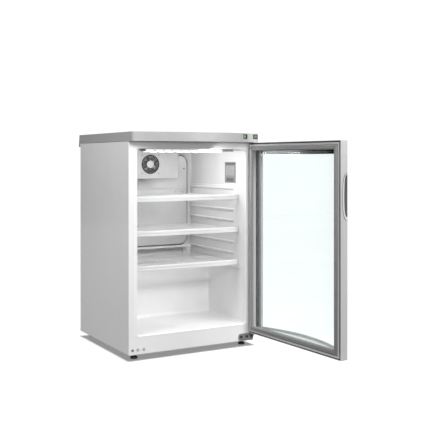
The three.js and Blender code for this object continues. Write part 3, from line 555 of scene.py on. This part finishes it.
def pad(side):
    """The raised panel on a side wall that carries the ribs."""
    wall, face = side * (CAVITY.x1 + 1), side * (CAVITY.x1 - PAD_THICKNESS)
    plan = [(wall, PAD_FRONT - PAD_TAPER), (face, PAD_FRONT), (face, CAVITY.y1 + 1), (wall, CAVITY.y1 + 1)]
    return soften(prism(plan, "z", PAD_BOTTOM, PAD_TOP), PAD_ROUND, 3)


def build_liner():
    """The moulded inside: flange, flared mouth, step, ribs and the hole of the drain."""
    mouth = rounded(liner.x0, liner.x1, liner.z0, liner.z1, FLANGE_CORNER, 4)
    flange = soften(prism(mouth, "y", 0, LINER_WALL), FLANGE_ROUND, 2)
    in_front = block(-FAR, FAR, -FAR, 0.2, -FAR, FAR)
    body = cut(cavity_space(LINER_WALL, LINER_CORNER + LINER_WALL), in_front)
    body = cut(join(body, flange), cavity_space(0, LINER_CORNER), flare())
    for side in (-1, 1):
        body = join(body, pad(side), *(rib(side, level) for level in range(RIB_COUNT)))
    drain = extent("drain_tube")
    x, y, _ = centre(drain)
    body = cut(body, rod("z", x, y, (drain.x1 - drain.x0) / 2, STEP_TOP - PAST, STEP_TOP + PAST))
    piece("inner_liner_moulding", body, LINER, "white_liner", "inner_liner")


shell_piece = build_shell()
build_liner()
repaint(FOAM, "foam_insulation")


# ---------- softened copies of CAD shapes
def soft_copy(node, material, slot, width, body="cabinet", place=CABINET, steps=2):
    """The CAD shape with its edges rounded, as a piece of its own."""
    shape = soften(cad(node, place), width, steps)
    return piece(node + "_part", shape, material, slot, node, body=body, place=place)


worktop_piece = soft_copy("worktop", WORKTOP, "worktop_plastic", 3.5, steps=4)
for node, material, slot, width in (
    ("switch_bezel", BLACK, "black_plastic", 0.5),
    ("display_bezel", BLACK, "black_plastic", 0.5),
    ("display_window", DISPLAY, "display_glass", 0.4),
    ("back_panel", GALVANISED, "galvanised_steel", 0.3),
    ("base_plate", GALVANISED, "galvanised_steel", 0.3),
    ("lamp_housing", GREY, "grey_plastic", 0.6),
    ("fan_cover", FAN_COVER, "white_plastic", 0.6),
    ("fan_motor", FAN_BLACK, "black_plastic", 0.6),
    ("drain_gutter", WHITE_PLASTIC, "white_plastic", 0.5),
    ("drain_tube", WHITE_PLASTIC, "white_plastic", 0.5),
    ("sensor_clip", WHITE_PLASTIC, "white_plastic", 0.8),
    ("rating_label", FOIL, "label_foil", 0.15),
    ("compressor_rail", GALVANISED, "galvanised_steel", 0.4),
    ("evaporation_tray", BLACK, "black_plastic", 1.0),
    ("cable_gland", BLACK, "black_plastic", 0.8),
    ("lower_hinge_bracket", HINGE_STEEL, "hinge_steel", 0.5),
    ("lower_hinge_pin", BLACK_STEEL, "black_steel", 0.4),
    ("upper_hinge_bracket", HINGE_STEEL, "hinge_steel", 0.4),
    ("rear_foot_left", BLACK, "black_plastic", 0.6),
    ("rear_foot_right", BLACK, "black_plastic", 0.6),
    ("filter_drier", COPPER, "copper", 1.5),
):
    soft_copy(node, material, slot, width)
soft_copy("relay_box", BLACK, "black_plastic", 2.0, steps=3)
for side in ("left", "right"):
    soft_copy(f"front_foot_{side}", BLACK, "black_plastic", 0.6, body=f"{side}_foot")
soft_copy("fan_impeller", FAN_BLACK, "grey_plastic", 0.3, body="fan")
soft_copy("glass_spacer", SPACER, "spacer_aluminium", 0.3, body="door", place=DOOR)
for node in ("glass_inner", "glass_middle", "glass_outer"):
    pane = soft_copy(node, GLASS, "clear_glass", 0.3, body="door", place=DOOR)
    pane.visible_shadow = False


# ---------- small parts of the cabinet
def build_rocker():
    """A rocker with a green half that lights up and a right half in black that is painted shade."""
    box = extent("light_switch_rocker")
    shape = soften(cad("light_switch_rocker"), 0.5)
    split = centre(box)[0]
    # The dark half is painted shade: the rocker's right half drawn in black.
    for name, material, start, end, nodes in (
        ("green", GREEN, box.x0 - 1, split, ["light_switch_rocker"]), ("dark", BLACK, split, box.x1 + 1, []),
    ):
        half = combine(shape, "INTERSECT", block(start, end, box.y0 - 1, box.y1 + 1, box.z0 - 1, box.z1 + 1))
        piece(f"rocker_{name}", half, material, "green_rocker", *nodes, body="light_switch")


# Each field's name, start and end from the label's back edge and from its bottom edge, and look.
LABEL_FIELDS = (
    ("head", 4, 82, 74, 83, LABEL_INK),
    ("table", 8, 76, 30, 70, LABEL_PALE),
    ("foot", 14, 70, 5, 20, LABEL_INK),
)
FIELD_RISE, FIELD_ROOT = 0.25, 0.1


def build_label_fields():
    """Blank printed fields on the rating label."""
    box = extent("rating_label")
    for name, back, front, low, high, material in LABEL_FIELDS:
        shape = block(
            box.x0 - FIELD_RISE, box.x0 + FIELD_ROOT, box.y1 - front, box.y1 - back,
            box.z0 + low, box.z0 + high,
        )
        piece(f"label_{name}", soften(shape, 0.08, 1), material, "label_foil")


BRACKET_SHEET = 3.0
SOCKET_RADIUS, SOCKET_DEPTH = 2.9, 2.6
WASHER_GAP, WASHER_SHEET, WASHER_HOLE = 0.35, 0.9, 3.2
WASHER_RADII = {1: 9.4, 2: 7.0, 3: 7.0}


def build_bolt(number, washer_radius):
    """Makes a hexagon bolt with a socket in its head, and gives back the shape of its washer."""
    node = f"hinge_bolt_{number}"
    box = extent(node)
    x, _, z = centre(box)
    socket = prism(circle(x, z, SOCKET_RADIUS, 6), "y", box.y0 - 1, box.y0 + SOCKET_DEPTH)
    piece(node + "_head", cut(soften(cad(node), 0.7, 2), socket), BLACK_STEEL, "black_steel", node)
    back = -BRACKET_SHEET - WASHER_GAP
    front = back - WASHER_SHEET
    return turned("y", x, z, [
        (WASHER_HOLE, back), (WASHER_HOLE, front), (washer_radius - 0.5, front), (washer_radius, front + 0.4),
        (washer_radius, back),
    ], 32, closed=True)


def build_bolts():
    """The hinge's bolts and their washers."""
    washers = [build_bolt(number, radius) for number, radius in WASHER_RADII.items()]
    piece("hinge_washers", merge(*washers), HINGE_STEEL, "hinge_steel")


def build_plug(number, material):
    """A snap-in plug: a rounded rim round a sunk centre."""
    node = f"hole_plug_{number}"
    box = extent(node)
    x, _, z = centre(box)
    radius = (box.x1 - box.x0) / 2
    rim = turned("y", x, z, [
        (radius * 0.6, -0.1), (radius * 0.6, box.y0 + 0.5), (radius * 0.68, box.y0 + 0.1),
        (radius * 0.8, box.y0), (radius * 0.93, box.y0 + 0.3), (radius, box.y0 + 1), (radius, -0.1),
    ], 32, closed=True)
    core = turned("y", x, z, [
        (0, box.y0 + 0.9), (radius * 0.4, box.y0 + 1), (radius * 0.58, box.y0 + 1.2), (radius * 0.58, box.y1),
        (0, box.y1),
    ], 24)
    piece(f"{node}_rim", rim, PLUG_RIM, "grey_plastic", node)
    piece(f"{node}_core", core, material, "grey_plastic")


SLEEVE_START = STEP_TOP - 6


def build_suction_line():
    """Bare copper in the machine bay, and a light sleeve over the pipe inside the cold space."""
    pipe = cad("suction_line")
    below = block(-FAR, FAR, -FAR, FAR, -FAR, SLEEVE_START)
    above = block(-FAR, FAR, -FAR, FAR, SLEEVE_START, SLEEVE_START + FAR)
    piece("suction_line_pipe", cut(pipe, above), COPPER, "copper", "suction_line")
    piece("suction_line_sleeve", cut(pipe, below), WHITE_PLASTIC, "white_plastic")


build_rocker()
build_label_fields()
build_bolts()
for number, material in ((1, PLUG_RIM), (2, WHITE_PLASTIC), (3, WHITE_PLASTIC)):
    build_plug(number, material)
build_suction_line()


# ---------- compressor and condenser
POT_RADIUS, POT_SEAM, POT_LIFT = 68.0, 122.0, 12.0
FOOT_X, FOOT_Y, FOOT_MARGIN, FOOT_SHEET, GROMMET = 72.0, 40.0, 10.0, 3.2, 9.5


def build_compressor():
    """A welded steel pot on a plate with rubber grommets."""
    box = extent("compressor")
    x, y, _ = centre(box)
    low, high, radius = box.z0 + POT_LIFT, box.z1, POT_RADIUS
    pot = turned("z", x, y, [
        (0, low), (radius * 0.7, low + 4), (radius * 0.86, low + 10), (radius * 0.95, low + 24),
        (radius - 2, low + 44), (radius - 2, POT_SEAM - 3), (radius, POT_SEAM - 2.4),
        (radius, POT_SEAM + 2.4), (radius - 3.4, POT_SEAM + 3), (radius - 3.4, high - 44),
        (radius * 0.92, high - 28), (radius * 0.84, high - 15), (radius * 0.66, high - 5.5),
        (radius * 0.36, high - 1.2), (0, high),
    ], 56)
    reach = FOOT_Y + FOOT_MARGIN
    plate = soften(block(box.x0, box.x1, y - reach, y + reach, low, low + FOOT_SHEET), 1.2, 2)
    grommets = [
        rod("z", x + side * FOOT_X, y + end * FOOT_Y, GROMMET, box.z0 + 4, low + 7)
        for side in (-1, 1) for end in (-1, 1)
    ]
    piece("compressor_pot", merge(pot, plate), BLACK_STEEL, "black_steel", "compressor")
    piece("compressor_grommets", merge(*(soften(one, 1, 2) for one in grommets)), DARK_RUBBER_AND_SHADE, "black_plastic")


CROSS_WIRE, CROSS_GAP, CROSS_PITCH, CROSS_OVER = 0.75, 0.3, 12.5, 8.0
COIL_MARGIN, COIL_LOW, COIL_PITCH = 26.0, 318.0, 62.0
CLIP_INSET, CLIP_DROP, CLIP_LOWER = 60.0, 2.6, 5 * COIL_PITCH
CLIP_WIDE, CLIP_TALL = 12.0, 10.0


def build_coil():
    """The serpentine pipe with wires welded across both its sides and the clips that hold it."""
    box = extent("condenser_coil")
    middle, pipe = centre(box)[1], (box.y1 - box.y0) / 2
    piece("condenser_pipe", soften(cad("condenser_coil"), 0.3), BLACK_STEEL, "black_steel", "condenser_coil")
    start, end = box.x0 + COIL_MARGIN, box.x1 - COIL_MARGIN
    count = int((end - start) / CROSS_PITCH)
    wires = []
    for index in range(count + 1):
        x = start + (end - start) * index / count
        for y in (middle - pipe - CROSS_GAP, middle + pipe + CROSS_GAP):
            wires.append(tube([(x, y, COIL_LOW), (x, y, box.z1 + CROSS_OVER)], CROSS_WIRE, 6))
    piece("condenser_cross_wires", merge(*wires), BLACK_STEEL, "black_steel")
    panel = extent("back_panel").y1
    top = box.z1 - CLIP_DROP
    half, rise = CLIP_WIDE / 2, CLIP_TALL / 2
    clips = [
        soften(block(x - half, x + half, panel - 0.5, middle + pipe + 1.6, z - rise, z + rise), 1.2, 2)
        for x in (box.x0 + CLIP_INSET, box.x1 - CLIP_INSET) for z in (top, top - CLIP_LOWER)
    ]
    piece("condenser_clips", merge(*clips), BLACK, "black_plastic")


build_compressor()
build_coil()


# ---------- door handle
LINE_WIDTH, RIM_LIP = 1.6, 1.4
SCOOP_LOW, SCOOP_HIGH, SCOOP_TIP = 11.4, 4.4, 7.6
BOW_STEPS, BOW_POWER = 24, 0.55


def bow_zone(box, outer, bottom, top, tip, start):
    """A bow seen on the door's end face, drawn from its outer face to a tip, as a block that runs across."""
    middle, half = (bottom + top) / 2, (top - bottom) / 2
    plan = []
    for step in range(BOW_STEPS + 1):
        angle = math.pi * step / BOW_STEPS
        depth = (tip - outer) * math.sin(angle) ** BOW_POWER
        plan.append((outer + depth, middle + half * math.cos(angle)))
    return prism(plan, "x", start, box.x1 + 5)


def build_handle():
    """The finger pull's one grey insert: a rim painted brighter as highlight, a dark line round it and a
    darker scoop within, both painted shade.
    """
    box = extent("door_handle", DOOR)
    insert = cad("door_handle", DOOR)
    inside_line = bow_zone(
        box, box.y0 - 3, box.z0 + LINE_WIDTH, box.z1 - LINE_WIDTH, box.y1 - LINE_WIDTH, box.x0 - 5,
    )
    scoop_zone = bow_zone(
        box, box.y0 + RIM_LIP, box.z0 + SCOOP_LOW, box.z1 - SCOOP_HIGH, box.y1 - SCOOP_TIP, box.x0 + 0.5,
    )
    face = block(box.x0 - 5, box.x0 + 0.6, box.y0 - 5, box.y1 + 5, box.z0 - 5, box.z1 + 5)
    rim = cut(combine(insert, "INTERSECT", inside_line), scoop_zone)
    # The rim is painted highlight, and the line and the scoop are painted shade, all on the one grey insert.
    parts = (
        ("rim", rim, SILVER_HIGHLIGHT, ["door_handle"]),
        ("scoop", combine(insert, "INTERSECT", scoop_zone), HANDLE_SCOOP_SHADE, []),
        ("line", cut(insert, inside_line, face), DARK_RUBBER_AND_SHADE, []),
    )
    for name, shape, material, nodes in parts:
        piece(f"door_handle_{name}", shape, material, "grey_plastic", *nodes, body="door", place=DOOR)


build_handle()


# ---------- door frame
GROOVE_START, GROOVE_END, GROOVE_DEPTH = 1.6, 6.4, 5.0
BEAD_START, BEAD_END, BEAD_RISE = 7.2, 13.8, 1.2


def build_profile(node, material, groove):
    """One side of the door frame, with its part of the groove."""
    shape = soften(cut(cad(node, DOOR), groove), 0.7, 2)
    return piece(node + "_profile", shape, material, "door_silver", node, body="door", place=DOOR)


def build_door_frame():
    """Four mitred profiles, a groove round the inner face with a near black fin in it as painted shade, and a
    raised bead beside it in the brighter silver of a painted highlight.

    Gives back the bottom rail.
    """
    bottom, top = extent("door_bottom_rail", DOOR), extent("door_top_rail", DOOR)
    face = bottom.y1
    around = bottom.x0, bottom.x1, bottom.z0, top.z1
    sunk = face - GROOVE_DEPTH
    slot = [(GROOVE_START, face + 1), (GROOVE_START, sunk), (GROOVE_END, sunk), (GROOVE_END, face + 1)]
    groove = picture_frame(*around, slot)
    build_profile("door_top_rail", SILVER_RAIL, groove)
    bottom_rail = build_profile("door_bottom_rail", SILVER_RAIL, groove)
    build_profile("door_hinge_stile", SILVER, groove)
    build_profile("door_handle_stile", SILVER, groove)
    fin = [
        (GROOVE_START + 0.2, sunk + 0.2), (GROOVE_END - 0.2, sunk + 0.2), (GROOVE_END - 0.2, face - 3.4),
        (GROOVE_END - 1.4, face - 2.6), (GROOVE_START + 1.4, face - 3), (GROOVE_START + 0.2, face - 3.6),
    ]
    # The fin in the groove is painted shade that darkens the groove.
    piece("door_groove_painted_shade", picture_frame(*around, fin), DARK_RUBBER_AND_SHADE, "black_plastic", body="door", place=DOOR)
    lip = [
        (BEAD_START, face + 0.1), (BEAD_START + 0.8, face + 0.8), (BEAD_START + 2.2, face + BEAD_RISE),
        (BEAD_END - 2.2, face + BEAD_RISE), (BEAD_END - 0.8, face + 0.8), (BEAD_END, face + 0.1),
    ]
    bead = picture_frame(*around, lip)
    # The bead's brighter silver is painted highlight.
    piece("door_edge_bead", bead, SILVER_HIGHLIGHT, "door_silver", body="door", place=DOOR, smooth=50)
    return bottom_rail


SILL_GAP, SILL_TUCK, SILL_STEPS = 9.0, 2.0, 32
SILL_SUNK, SILL_RISE = 0.2, 0.9


def build_sill():
    """The strip in the bottom rail between the flat panes and the bowed one, in a brighter silver that is
    painted highlight on the rail's lit top.
    """
    bowed, flat = extent("glass_outer", DOOR), extent("glass_middle", DOOR)
    sag = bowed.y1 - bowed.y0 - (flat.y1 - flat.y0)
    radius = (bowed.x1 ** 2 + sag ** 2) / (2 * sag)
    chord = flat.y0 - SILL_TUCK
    level = bowed.y1 + SILL_GAP + radius - sag
    reach = math.sqrt(radius ** 2 - (level - chord) ** 2)
    across = [reach * (1 - 2 * step / SILL_STEPS) for step in range(1, SILL_STEPS)]
    curve = [(x, level - math.sqrt(radius ** 2 - x ** 2)) for x in across]
    outline = [(-reach, chord), (reach, chord), *curve]
    strip = prism(outline, "z", bowed.z0 - SILL_SUNK, bowed.z0 + SILL_RISE)
    return piece("door_sill_strip", strip, SILVER_HIGHLIGHT, "door_silver", body="door", place=DOOR)


sill_pieces = build_door_frame(), build_sill()


# ---------- door gasket
GASKET_WIDTH = 17.5


def build_gasket():
    """The soft seal, its section drawn from its outer edge inwards."""
    box = extent("door_gasket", DOOR)
    width, back, front = GASKET_WIDTH, box.y0, box.y1
    section = [
        (0, back), (0, back + 1.6), (0.6, back + 2.2), (2.6, back + 2.4), (3.4, front - 0.9),
        (4.4, front - 0.2), (6, front), (8, front - 0.5), (9, front - 1.1), (10, front - 0.5), (12, front),
        (13.6, front - 0.2), (14.6, front - 0.9), (15.2, back + 2.2), (16.8, back + 1.8),
        (width, back + 1.2), (width, back),
    ]
    seal = picture_frame(box.x0, box.x1, box.z0, box.z1, section)
    piece(
        "door_gasket_seal", seal, GASKET, "gasket_rubber", "door_gasket", body="door", place=DOOR, smooth=50,
    )


build_gasket()


# ---------- evaporator, lamp and fan guard
def screw(x, y, z, radius=2.6):
    """A pan head with a cross recess, standing on a face that looks forward."""
    head = turned("y", x, z, [
        (0, y + 0.6), (radius, y + 0.6), (radius, y - 0.5), (radius * 0.8, y - 1.2), (radius * 0.45, y - 1.5),
        (0, y - 1.5),
    ], 20)
    arm, thin = radius * 0.6, radius * 0.14
    return cut(
        head, block(x - arm, x + arm, y - 3, y - 0.9, z - thin, z + thin),
        block(x - thin, x + thin, y - 3, y - 0.9, z - arm, z + arm),
    )


PLATE_SHEET, PLATE_CORNER = 3.0, 35.0
# The ring round the plate is painted shade of the gap behind its edge.
EDGE_SHADE_WIDTH, EDGE_SHADE_START, EDGE_SHADE_END = 5.0, 0.2, 2.6
FOLD_HEIGHT, FOLD_RADIUS, FOLD_INSET = 618.0, 1.9, 6.0
CHANNEL_COUNT, CHANNEL_PITCH, CHANNEL_LOWEST, CHANNEL_INSET = 4, 56.0, 30.0, 34.0
CHANNEL_RADIUS, CHANNEL_SUNK = 0.95, 0.6
# Place across, height and radius of each screw.
PLATE_SCREWS = ((186, 706, 3.4), (143.4, 603.4, 2.0), (176.9, 603.4, 2.0))


def build_evaporator():
    """A bright sheet, a dark ring behind its edge painted as the shade of the gap there, a folded bead, faint
    channels and three screws.
    """
    plate = extent("evaporator_plate")
    front = plate.y1 - PLATE_SHEET
    outline = rounded(plate.x0, plate.x1, plate.z0, plate.z1, PLATE_CORNER, 8)
    sheet = soften(prism(outline, "y", front, plate.y1), 0.8, 2)
    fold = [(x, front, FOLD_HEIGHT) for x in (plate.x0 + FOLD_INSET, plate.x1 - FOLD_INSET)]
    channels = []
    for level in range(CHANNEL_COUNT):
        z = plate.z0 + CHANNEL_LOWEST + level * CHANNEL_PITCH
        ends = plate.x0 + CHANNEL_INSET, plate.x1 - CHANNEL_INSET
        channels.append(tube([(x, front + CHANNEL_SUNK, z) for x in ends], CHANNEL_RADIUS, 8))
    whole = merge(sheet, tube(fold, FOLD_RADIUS, 8), *channels)
    piece("evaporator_sheet", whole, ALUMINIUM, "evaporator_aluminium", "evaporator_plate")
    # Painted shade: a dark ring just behind the plate's edge.
    grown = rounded(
        plate.x0 - EDGE_SHADE_WIDTH, plate.x1 + EDGE_SHADE_WIDTH, plate.z0 - EDGE_SHADE_WIDTH, plate.z1 + EDGE_SHADE_WIDTH,
        PLATE_CORNER + EDGE_SHADE_WIDTH, 8,
    )
    seal = soften(prism(grown, "y", plate.y1 + EDGE_SHADE_START, plate.y1 + EDGE_SHADE_END), 0.5, 2)
    piece("evaporator_edge_painted_shade", seal, PLATE_EDGE_SHADE, "black_plastic")
    screws = [screw(x, front, z, radius) for x, z, radius in PLATE_SCREWS]
    piece("evaporator_screws", merge(*screws), BLACK_STEEL, "black_steel")


LED_PITCH, DOME_DEPTH, DOME_SQUEEZE = 37.0, 2.4, 0.85
CHIP_HALF, CHIP_LOW, CHIP_HIGH = 6.5, 4.4, 9.0


def squeezed(shape, line, factor):
    """The shape drawn in from front and back towards a line at that y."""
    points, faces = shape
    return [(x, line + (y - line) * factor, z) for x, y, z in points], faces


def build_lamp():
    """A glowing cover with a shallow dome under each LED, and the chips that show through it."""
    lens = extent("lamp_lens")
    across, middle, _ = centre(lens)
    outline = rounded(lens.y0, lens.y1, lens.z0 + DOME_DEPTH, lens.z1, 3, 5)
    body = soften(prism(outline, "x", lens.x0, lens.x1), 0.6, 2)
    count = int((lens.x1 - lens.x0) / LED_PITCH)
    profile = [(0, lens.z0), (6, lens.z0 + 0.2), (11, lens.z0 + 1), (14.5, lens.z0 + 2.8), (0, lens.z0 + 3)]
    domes, chips = [], []
    for index in range(count):
        x = across + (index - (count - 1) / 2) * LED_PITCH
        domes.append(squeezed(turned("z", x, middle, profile, 28), middle, DOME_SQUEEZE))
        chip = block(
            x - CHIP_HALF, x + CHIP_HALF, lens.y0 - 0.3, lens.y0 + 1, lens.z0 + CHIP_LOW, lens.z0 + CHIP_HIGH,
        )
        chips.append(soften(chip, 0.25, 2))
    piece("lamp_lens_cover", merge(body, *domes), DIFFUSER, "lamp_diffuser", "lamp_lens")
    piece("lamp_chips", merge(*chips), CHIP, "lamp_diffuser")


GUARD_WIRE, GUARD_DISC = 0.65, 16.5
GUARD_RINGS = 22.3, 28.4, 34.4
SPOKE_ANGLES = 45, 135, 225, 315
SCREW_REACH = 39.0


def build_guard():
    """A chromed wire guard in a black ring, with a plain disc over the motor."""
    box = extent("fan_guard")
    x, y, z = centre(box)
    outer = (box.x1 - box.x0) / 2
    frame_ring = turned("y", x, z, [
        (outer - 4.5, box.y1), (outer - 4.5, box.y0 + 1), (outer - 3.5, box.y0), (outer - 1, box.y0),
        (outer, box.y0 + 1), (outer, box.y1),
    ], 48, closed=True)
    wires = [
        tube([(u, y, v) for u, v in circle(x, z, radius, 48)], GUARD_WIRE, 8, True) for radius in GUARD_RINGS
    ]
    for angle in SPOKE_ANGLES:
        outwards = Vector((math.cos(math.radians(angle)), 0, math.sin(math.radians(angle))))
        ends = [Vector((x, y, z)) + outwards * reach for reach in (GUARD_DISC - 2, outer - 3)]
        wires.append(tube(ends, GUARD_WIRE, 8))
    disc = turned("y", x, z, [
        (0, box.y0 + 0.2), (GUARD_DISC - 2, box.y0 + 0.2), (GUARD_DISC, box.y0 + 1),
        (GUARD_DISC, box.y1), (0, box.y1),
    ])
    piece("fan_guard_ring", frame_ring, BLACK, "black_plastic", "fan_guard")
    piece("fan_guard_wires", merge(*wires), CHROME, "galvanised_steel")
    piece("fan_guard_disc", disc, FAN_DISC, "grey_plastic")
    screws = [
        screw(x + side * SCREW_REACH, extent("fan_cover").y0, z + rise * SCREW_REACH)
        for side in (-1, 1) for rise in (-1, 1)
    ]
    piece("fan_cover_screws", merge(*screws), HINGE_STEEL, "galvanised_steel")


build_evaporator()
build_lamp()
build_guard()


# ---------- shelves
SHELF_RIM, SHELF_CORNER = 2.5, 12.0
SHELF_WIRE, SHELF_PITCH, SHELF_BAR = 1.5, 15.2, 2.1
WELD_DEPTH, WIRE_END = 0.4, 0.8
TRIM_GAP, TRIM_SAG, SAG_POWER = 0.3, 14.0, 5
TRIM_STEPS, TRIM_CORNER, TRIM_TURN = 24, 24.0, 4.0


def build_shelf(number, body):
    """A rim, wires from front to back on top of it and two bars across."""
    grid = extent(f"shelf_{number}")
    left, right = grid.x0 + SHELF_RIM, grid.x1 - SHELF_RIM
    level = grid.z0 + SHELF_RIM
    outline = rounded(left, right, grid.y0 + SHELF_RIM, grid.y1 - SHELF_RIM, SHELF_CORNER, 4)
    wires = [tube([(u, v, level) for u, v in outline], SHELF_RIM, 8, closed=True)]
    count = int((grid.x1 - grid.x0 - 2 * SHELF_CORNER) / SHELF_PITCH)
    height = grid.z0 + 2 * SHELF_RIM + SHELF_WIRE - WELD_DEPTH
    for index in range(count + 1):
        x = (index - count / 2) * SHELF_PITCH
        ends = [(x, grid.y0 + WIRE_END, height), (x, grid.y1 - WIRE_END, height)]
        wires.append(tube(ends, SHELF_WIRE, 8))
    for share in (1 / 3, 2 / 3):
        y = grid.y0 + (grid.y1 - grid.y0) * share
        wires.append(tube([(left, y, level + WELD_DEPTH), (right, y, level + WELD_DEPTH)], SHELF_BAR, 8))
    piece(f"shelf_{number}_wires", merge(*wires), WIRE, "coated_wire", f"shelf_{number}", body=body)
    build_trim(number, body, grid)


def build_trim(number, body, grid):
    """A plastic channel along the shelf's front edge, which bows forward and turns back at its ends."""
    trim = extent(f"shelf_trim_{number}")
    back, low, high = grid.y0 - TRIM_GAP, trim.z0, trim.z1
    rings = []
    for step in range(-TRIM_STEPS, TRIM_STEPS + 1):
        x = trim.x1 * step / TRIM_STEPS
        turn = max(0.0, abs(x) - (trim.x1 - TRIM_CORNER)) / TRIM_CORNER
        sag = TRIM_SAG * abs(x / trim.x1) ** SAG_POWER
        front = trim.y0 + sag + TRIM_TURN * (1 - math.sqrt(1 - turn * turn))
        section = [
            (front + 1.2, low), (back, low), (back, low + 2.4), (front + 3.4, low + 2.6),
            (front + 3.2, high - 3), (back, high - 2.6), (back, high), (front + 2.4, high),
            (front + 0.7, high - 0.9), (front, high - 3), (front, low + 11.6), (front + 0.9, low + 10.8),
            (front + 0.9, low + 7.8), (front, low + 7), (front, low + 1.4),
        ]
        rings.append([(x, y, z) for y, z in section])
    node = f"shelf_trim_{number}"
    piece(f"{node}_strip", loft(rings), TRIM_PLASTIC, "white_plastic", node, body=body)


for number, body in enumerate(("shelf_upper", "shelf_middle", "shelf_lower"), 1):
    build_shelf(number, body)


# ---------- floor, light and camera, in metres
AMBIENT, BACKDROP, SHADOW_LEVEL = 0.09, 1.06, 0.2
FLOOR_HALF = 6.0
# Name, place, what it points at, size and power of each soft box.
SOFT_BOXES = (
    ("left_box", (-2.1, -1.1, 2.6), (-0.3, 0.2, 0.6), (1.2, 1.2), 20),
    ("right_box", (1.7, -2.1, 2.2), (0.1, 0, 0.5), (1.2, 1.4), 49),
    ("near_right", (0.75, -1.5, 1.55), (0.2, 0, 0.7), (0.6, 0.6), 12),
    ("near_left", (-1.2, -0.3, 1.6), (-0.3, 0.25, 0.7), (0.6, 0.6), 10.5),
    ("near_front", (0.1, -1.6, 0.98), (-0.05, 0.3, 0.7), (0.5, 0.3), 5.5),
)
# The lamp's own light: where it is and what it points at are in mm, its size and power in m and W.
LAMP_OUT, LAMP_DOWN, LAMP_AIM = 8.0, 4.0, (210, 200, -260)
LAMP_SIZE, LAMP_POWER = (0.32, 0.02), 0.8
# The camera's place is in the cabinet's millimetres, and its turn in degrees.
SENSOR, LENS, SHIFT = 36, 67.776, -0.1277
CAMERA_PLACE, CAMERA_TURN = (-1477.2, -2735.3, 748.6), -29.782

FLOOR = look(
    "studio_floor", 250, 0.6, mottle=0.01, patch=400, grain=0.02, grain_size=3.0,
    Emission_Color=(1, 1, 1, 1), Emission_Strength=SHADOW_LEVEL,
)


def build_stage():
    """A plain pale floor."""
    mesh = bpy.data.meshes.new("floor")
    corners = [(-FLOOR_HALF, -FLOOR_HALF, 0), (FLOOR_HALF, -FLOOR_HALF, 0)]
    corners += [(FLOOR_HALF, FLOOR_HALF, 0), (-FLOOR_HALF, FLOOR_HALF, 0)]
    mesh.from_pydata(corners, [], [(0, 1, 2, 3)])
    mesh.materials.append(FLOOR)
    floor = add("floor", mesh)
    floor.visible_diffuse = False
    return floor


def area_light(name, place, target, size, power):
    """A soft box that points at a target and isn't seen itself."""
    data = bpy.data.lights.new(name, "AREA")
    data.shape = "RECTANGLE"
    data.size, data.size_y = size
    data.energy = power
    light = add(name, data)
    light.location = place
    light.rotation_euler = (Vector(target) - Vector(place)).to_track_quat("-Z", "Y").to_euler()
    light.visible_camera = False
    return light


def sun_light(name, azimuth, elevation, strength, softness):
    """A distant light; azimuth 0 shines from the front and positive angles from the viewer's right."""
    data = bpy.data.lights.new(name, "SUN")
    data.energy = strength
    data.angle = math.radians(softness)
    light = add(name, data)
    light.rotation_euler = (math.radians(90 - elevation), 0, math.radians(azimuth))
    return light


def group_of(name, state, *objects):
    """Objects that a light is kept to, or kept off."""
    group = bpy.data.collections.new(name)
    for member in objects:
        group.objects.link(member)
    for member in group.collection_objects:
        member.light_linking.link_state = state
    return group


def build_world():
    """A dim grey all round for the light, and a white backdrop for the camera."""
    world = bpy.data.worlds.new("studio")
    bpy.context.scene.world = world
    world.use_nodes = True
    nodes, links = world.node_tree.nodes, world.node_tree.links
    rays = nodes.new("ShaderNodeLightPath")
    blend = nodes.new("ShaderNodeMixShader")
    links.new(rays.outputs["Is Camera Ray"], blend.inputs["Fac"])
    shades = (nodes["Background"], AMBIENT), (nodes.new("ShaderNodeBackground"), BACKDROP)
    for socket, (shade, strength) in enumerate(shades, 1):
        shade.inputs["Color"].default_value = (1, 1, 1, 1)
        shade.inputs["Strength"].default_value = strength
        links.new(shade.outputs["Background"], blend.inputs[socket])
    links.new(blend.outputs["Shader"], nodes["World Output"].inputs["Surface"])


def build_lamp_light():
    """The light that the LED strip throws into the cold space."""
    lens = extent("lamp_lens")
    place = Vector((centre(lens)[0], lens.y1 + LAMP_OUT, lens.z0 - LAMP_DOWN))
    target = place + Vector(LAMP_AIM)
    return area_light("lamp", CABINET @ place, CABINET @ target, LAMP_SIZE, LAMP_POWER)


def build_light(floor):
    """Soft light for the fridge, a sun for its bottom rail and one that draws the shadow under it."""
    lights = [
        sun_light("front", azimuth=-10, elevation=24, strength=0.78, softness=8),
        sun_light("top", azimuth=0, elevation=90, strength=0.85, softness=90),
        *(area_light(*soft_box) for soft_box in SOFT_BOXES),
        build_lamp_light(),
    ]
    off_floor = group_of("off_floor", "EXCLUDE", floor)
    off_fascia = group_of("off_fascia", "EXCLUDE", floor, worktop_piece)
    for light in lights:
        light.light_linking.receiver_collection = off_fascia if light.name == "near_front" else off_floor
    rails = sun_light("rails", azimuth=-100, elevation=75, strength=3.2, softness=20)
    rails.light_linking.receiver_collection = group_of("rails_only", "INCLUDE", *sill_pieces)
    rails.light_linking.blocker_collection = group_of("no_blockers", "INCLUDE", floor)
    under = sun_light("footprint", azimuth=150, elevation=89.3, strength=2.85, softness=2)
    under.light_linking.receiver_collection = group_of("floor_only", "INCLUDE", floor)
    under.light_linking.blocker_collection = group_of("shell_only", "INCLUDE", shell_piece)


def build_camera():
    """A level camera where the photo's was, worked out from the edges of the cabinet and the door."""
    data = bpy.data.cameras.new("camera")
    data.sensor_width = SENSOR
    data.lens = LENS
    data.shift_y = SHIFT
    camera = add("camera", data)
    camera.location = CABINET @ Vector(CAMERA_PLACE)
    camera.rotation_euler = (math.pi / 2, 0, math.radians(CAMERA_TURN))
    bpy.context.scene.camera = camera


build_world()
build_light(build_stage())
build_camera()
bpy.context.scene.view_settings.view_transform = "Standard"
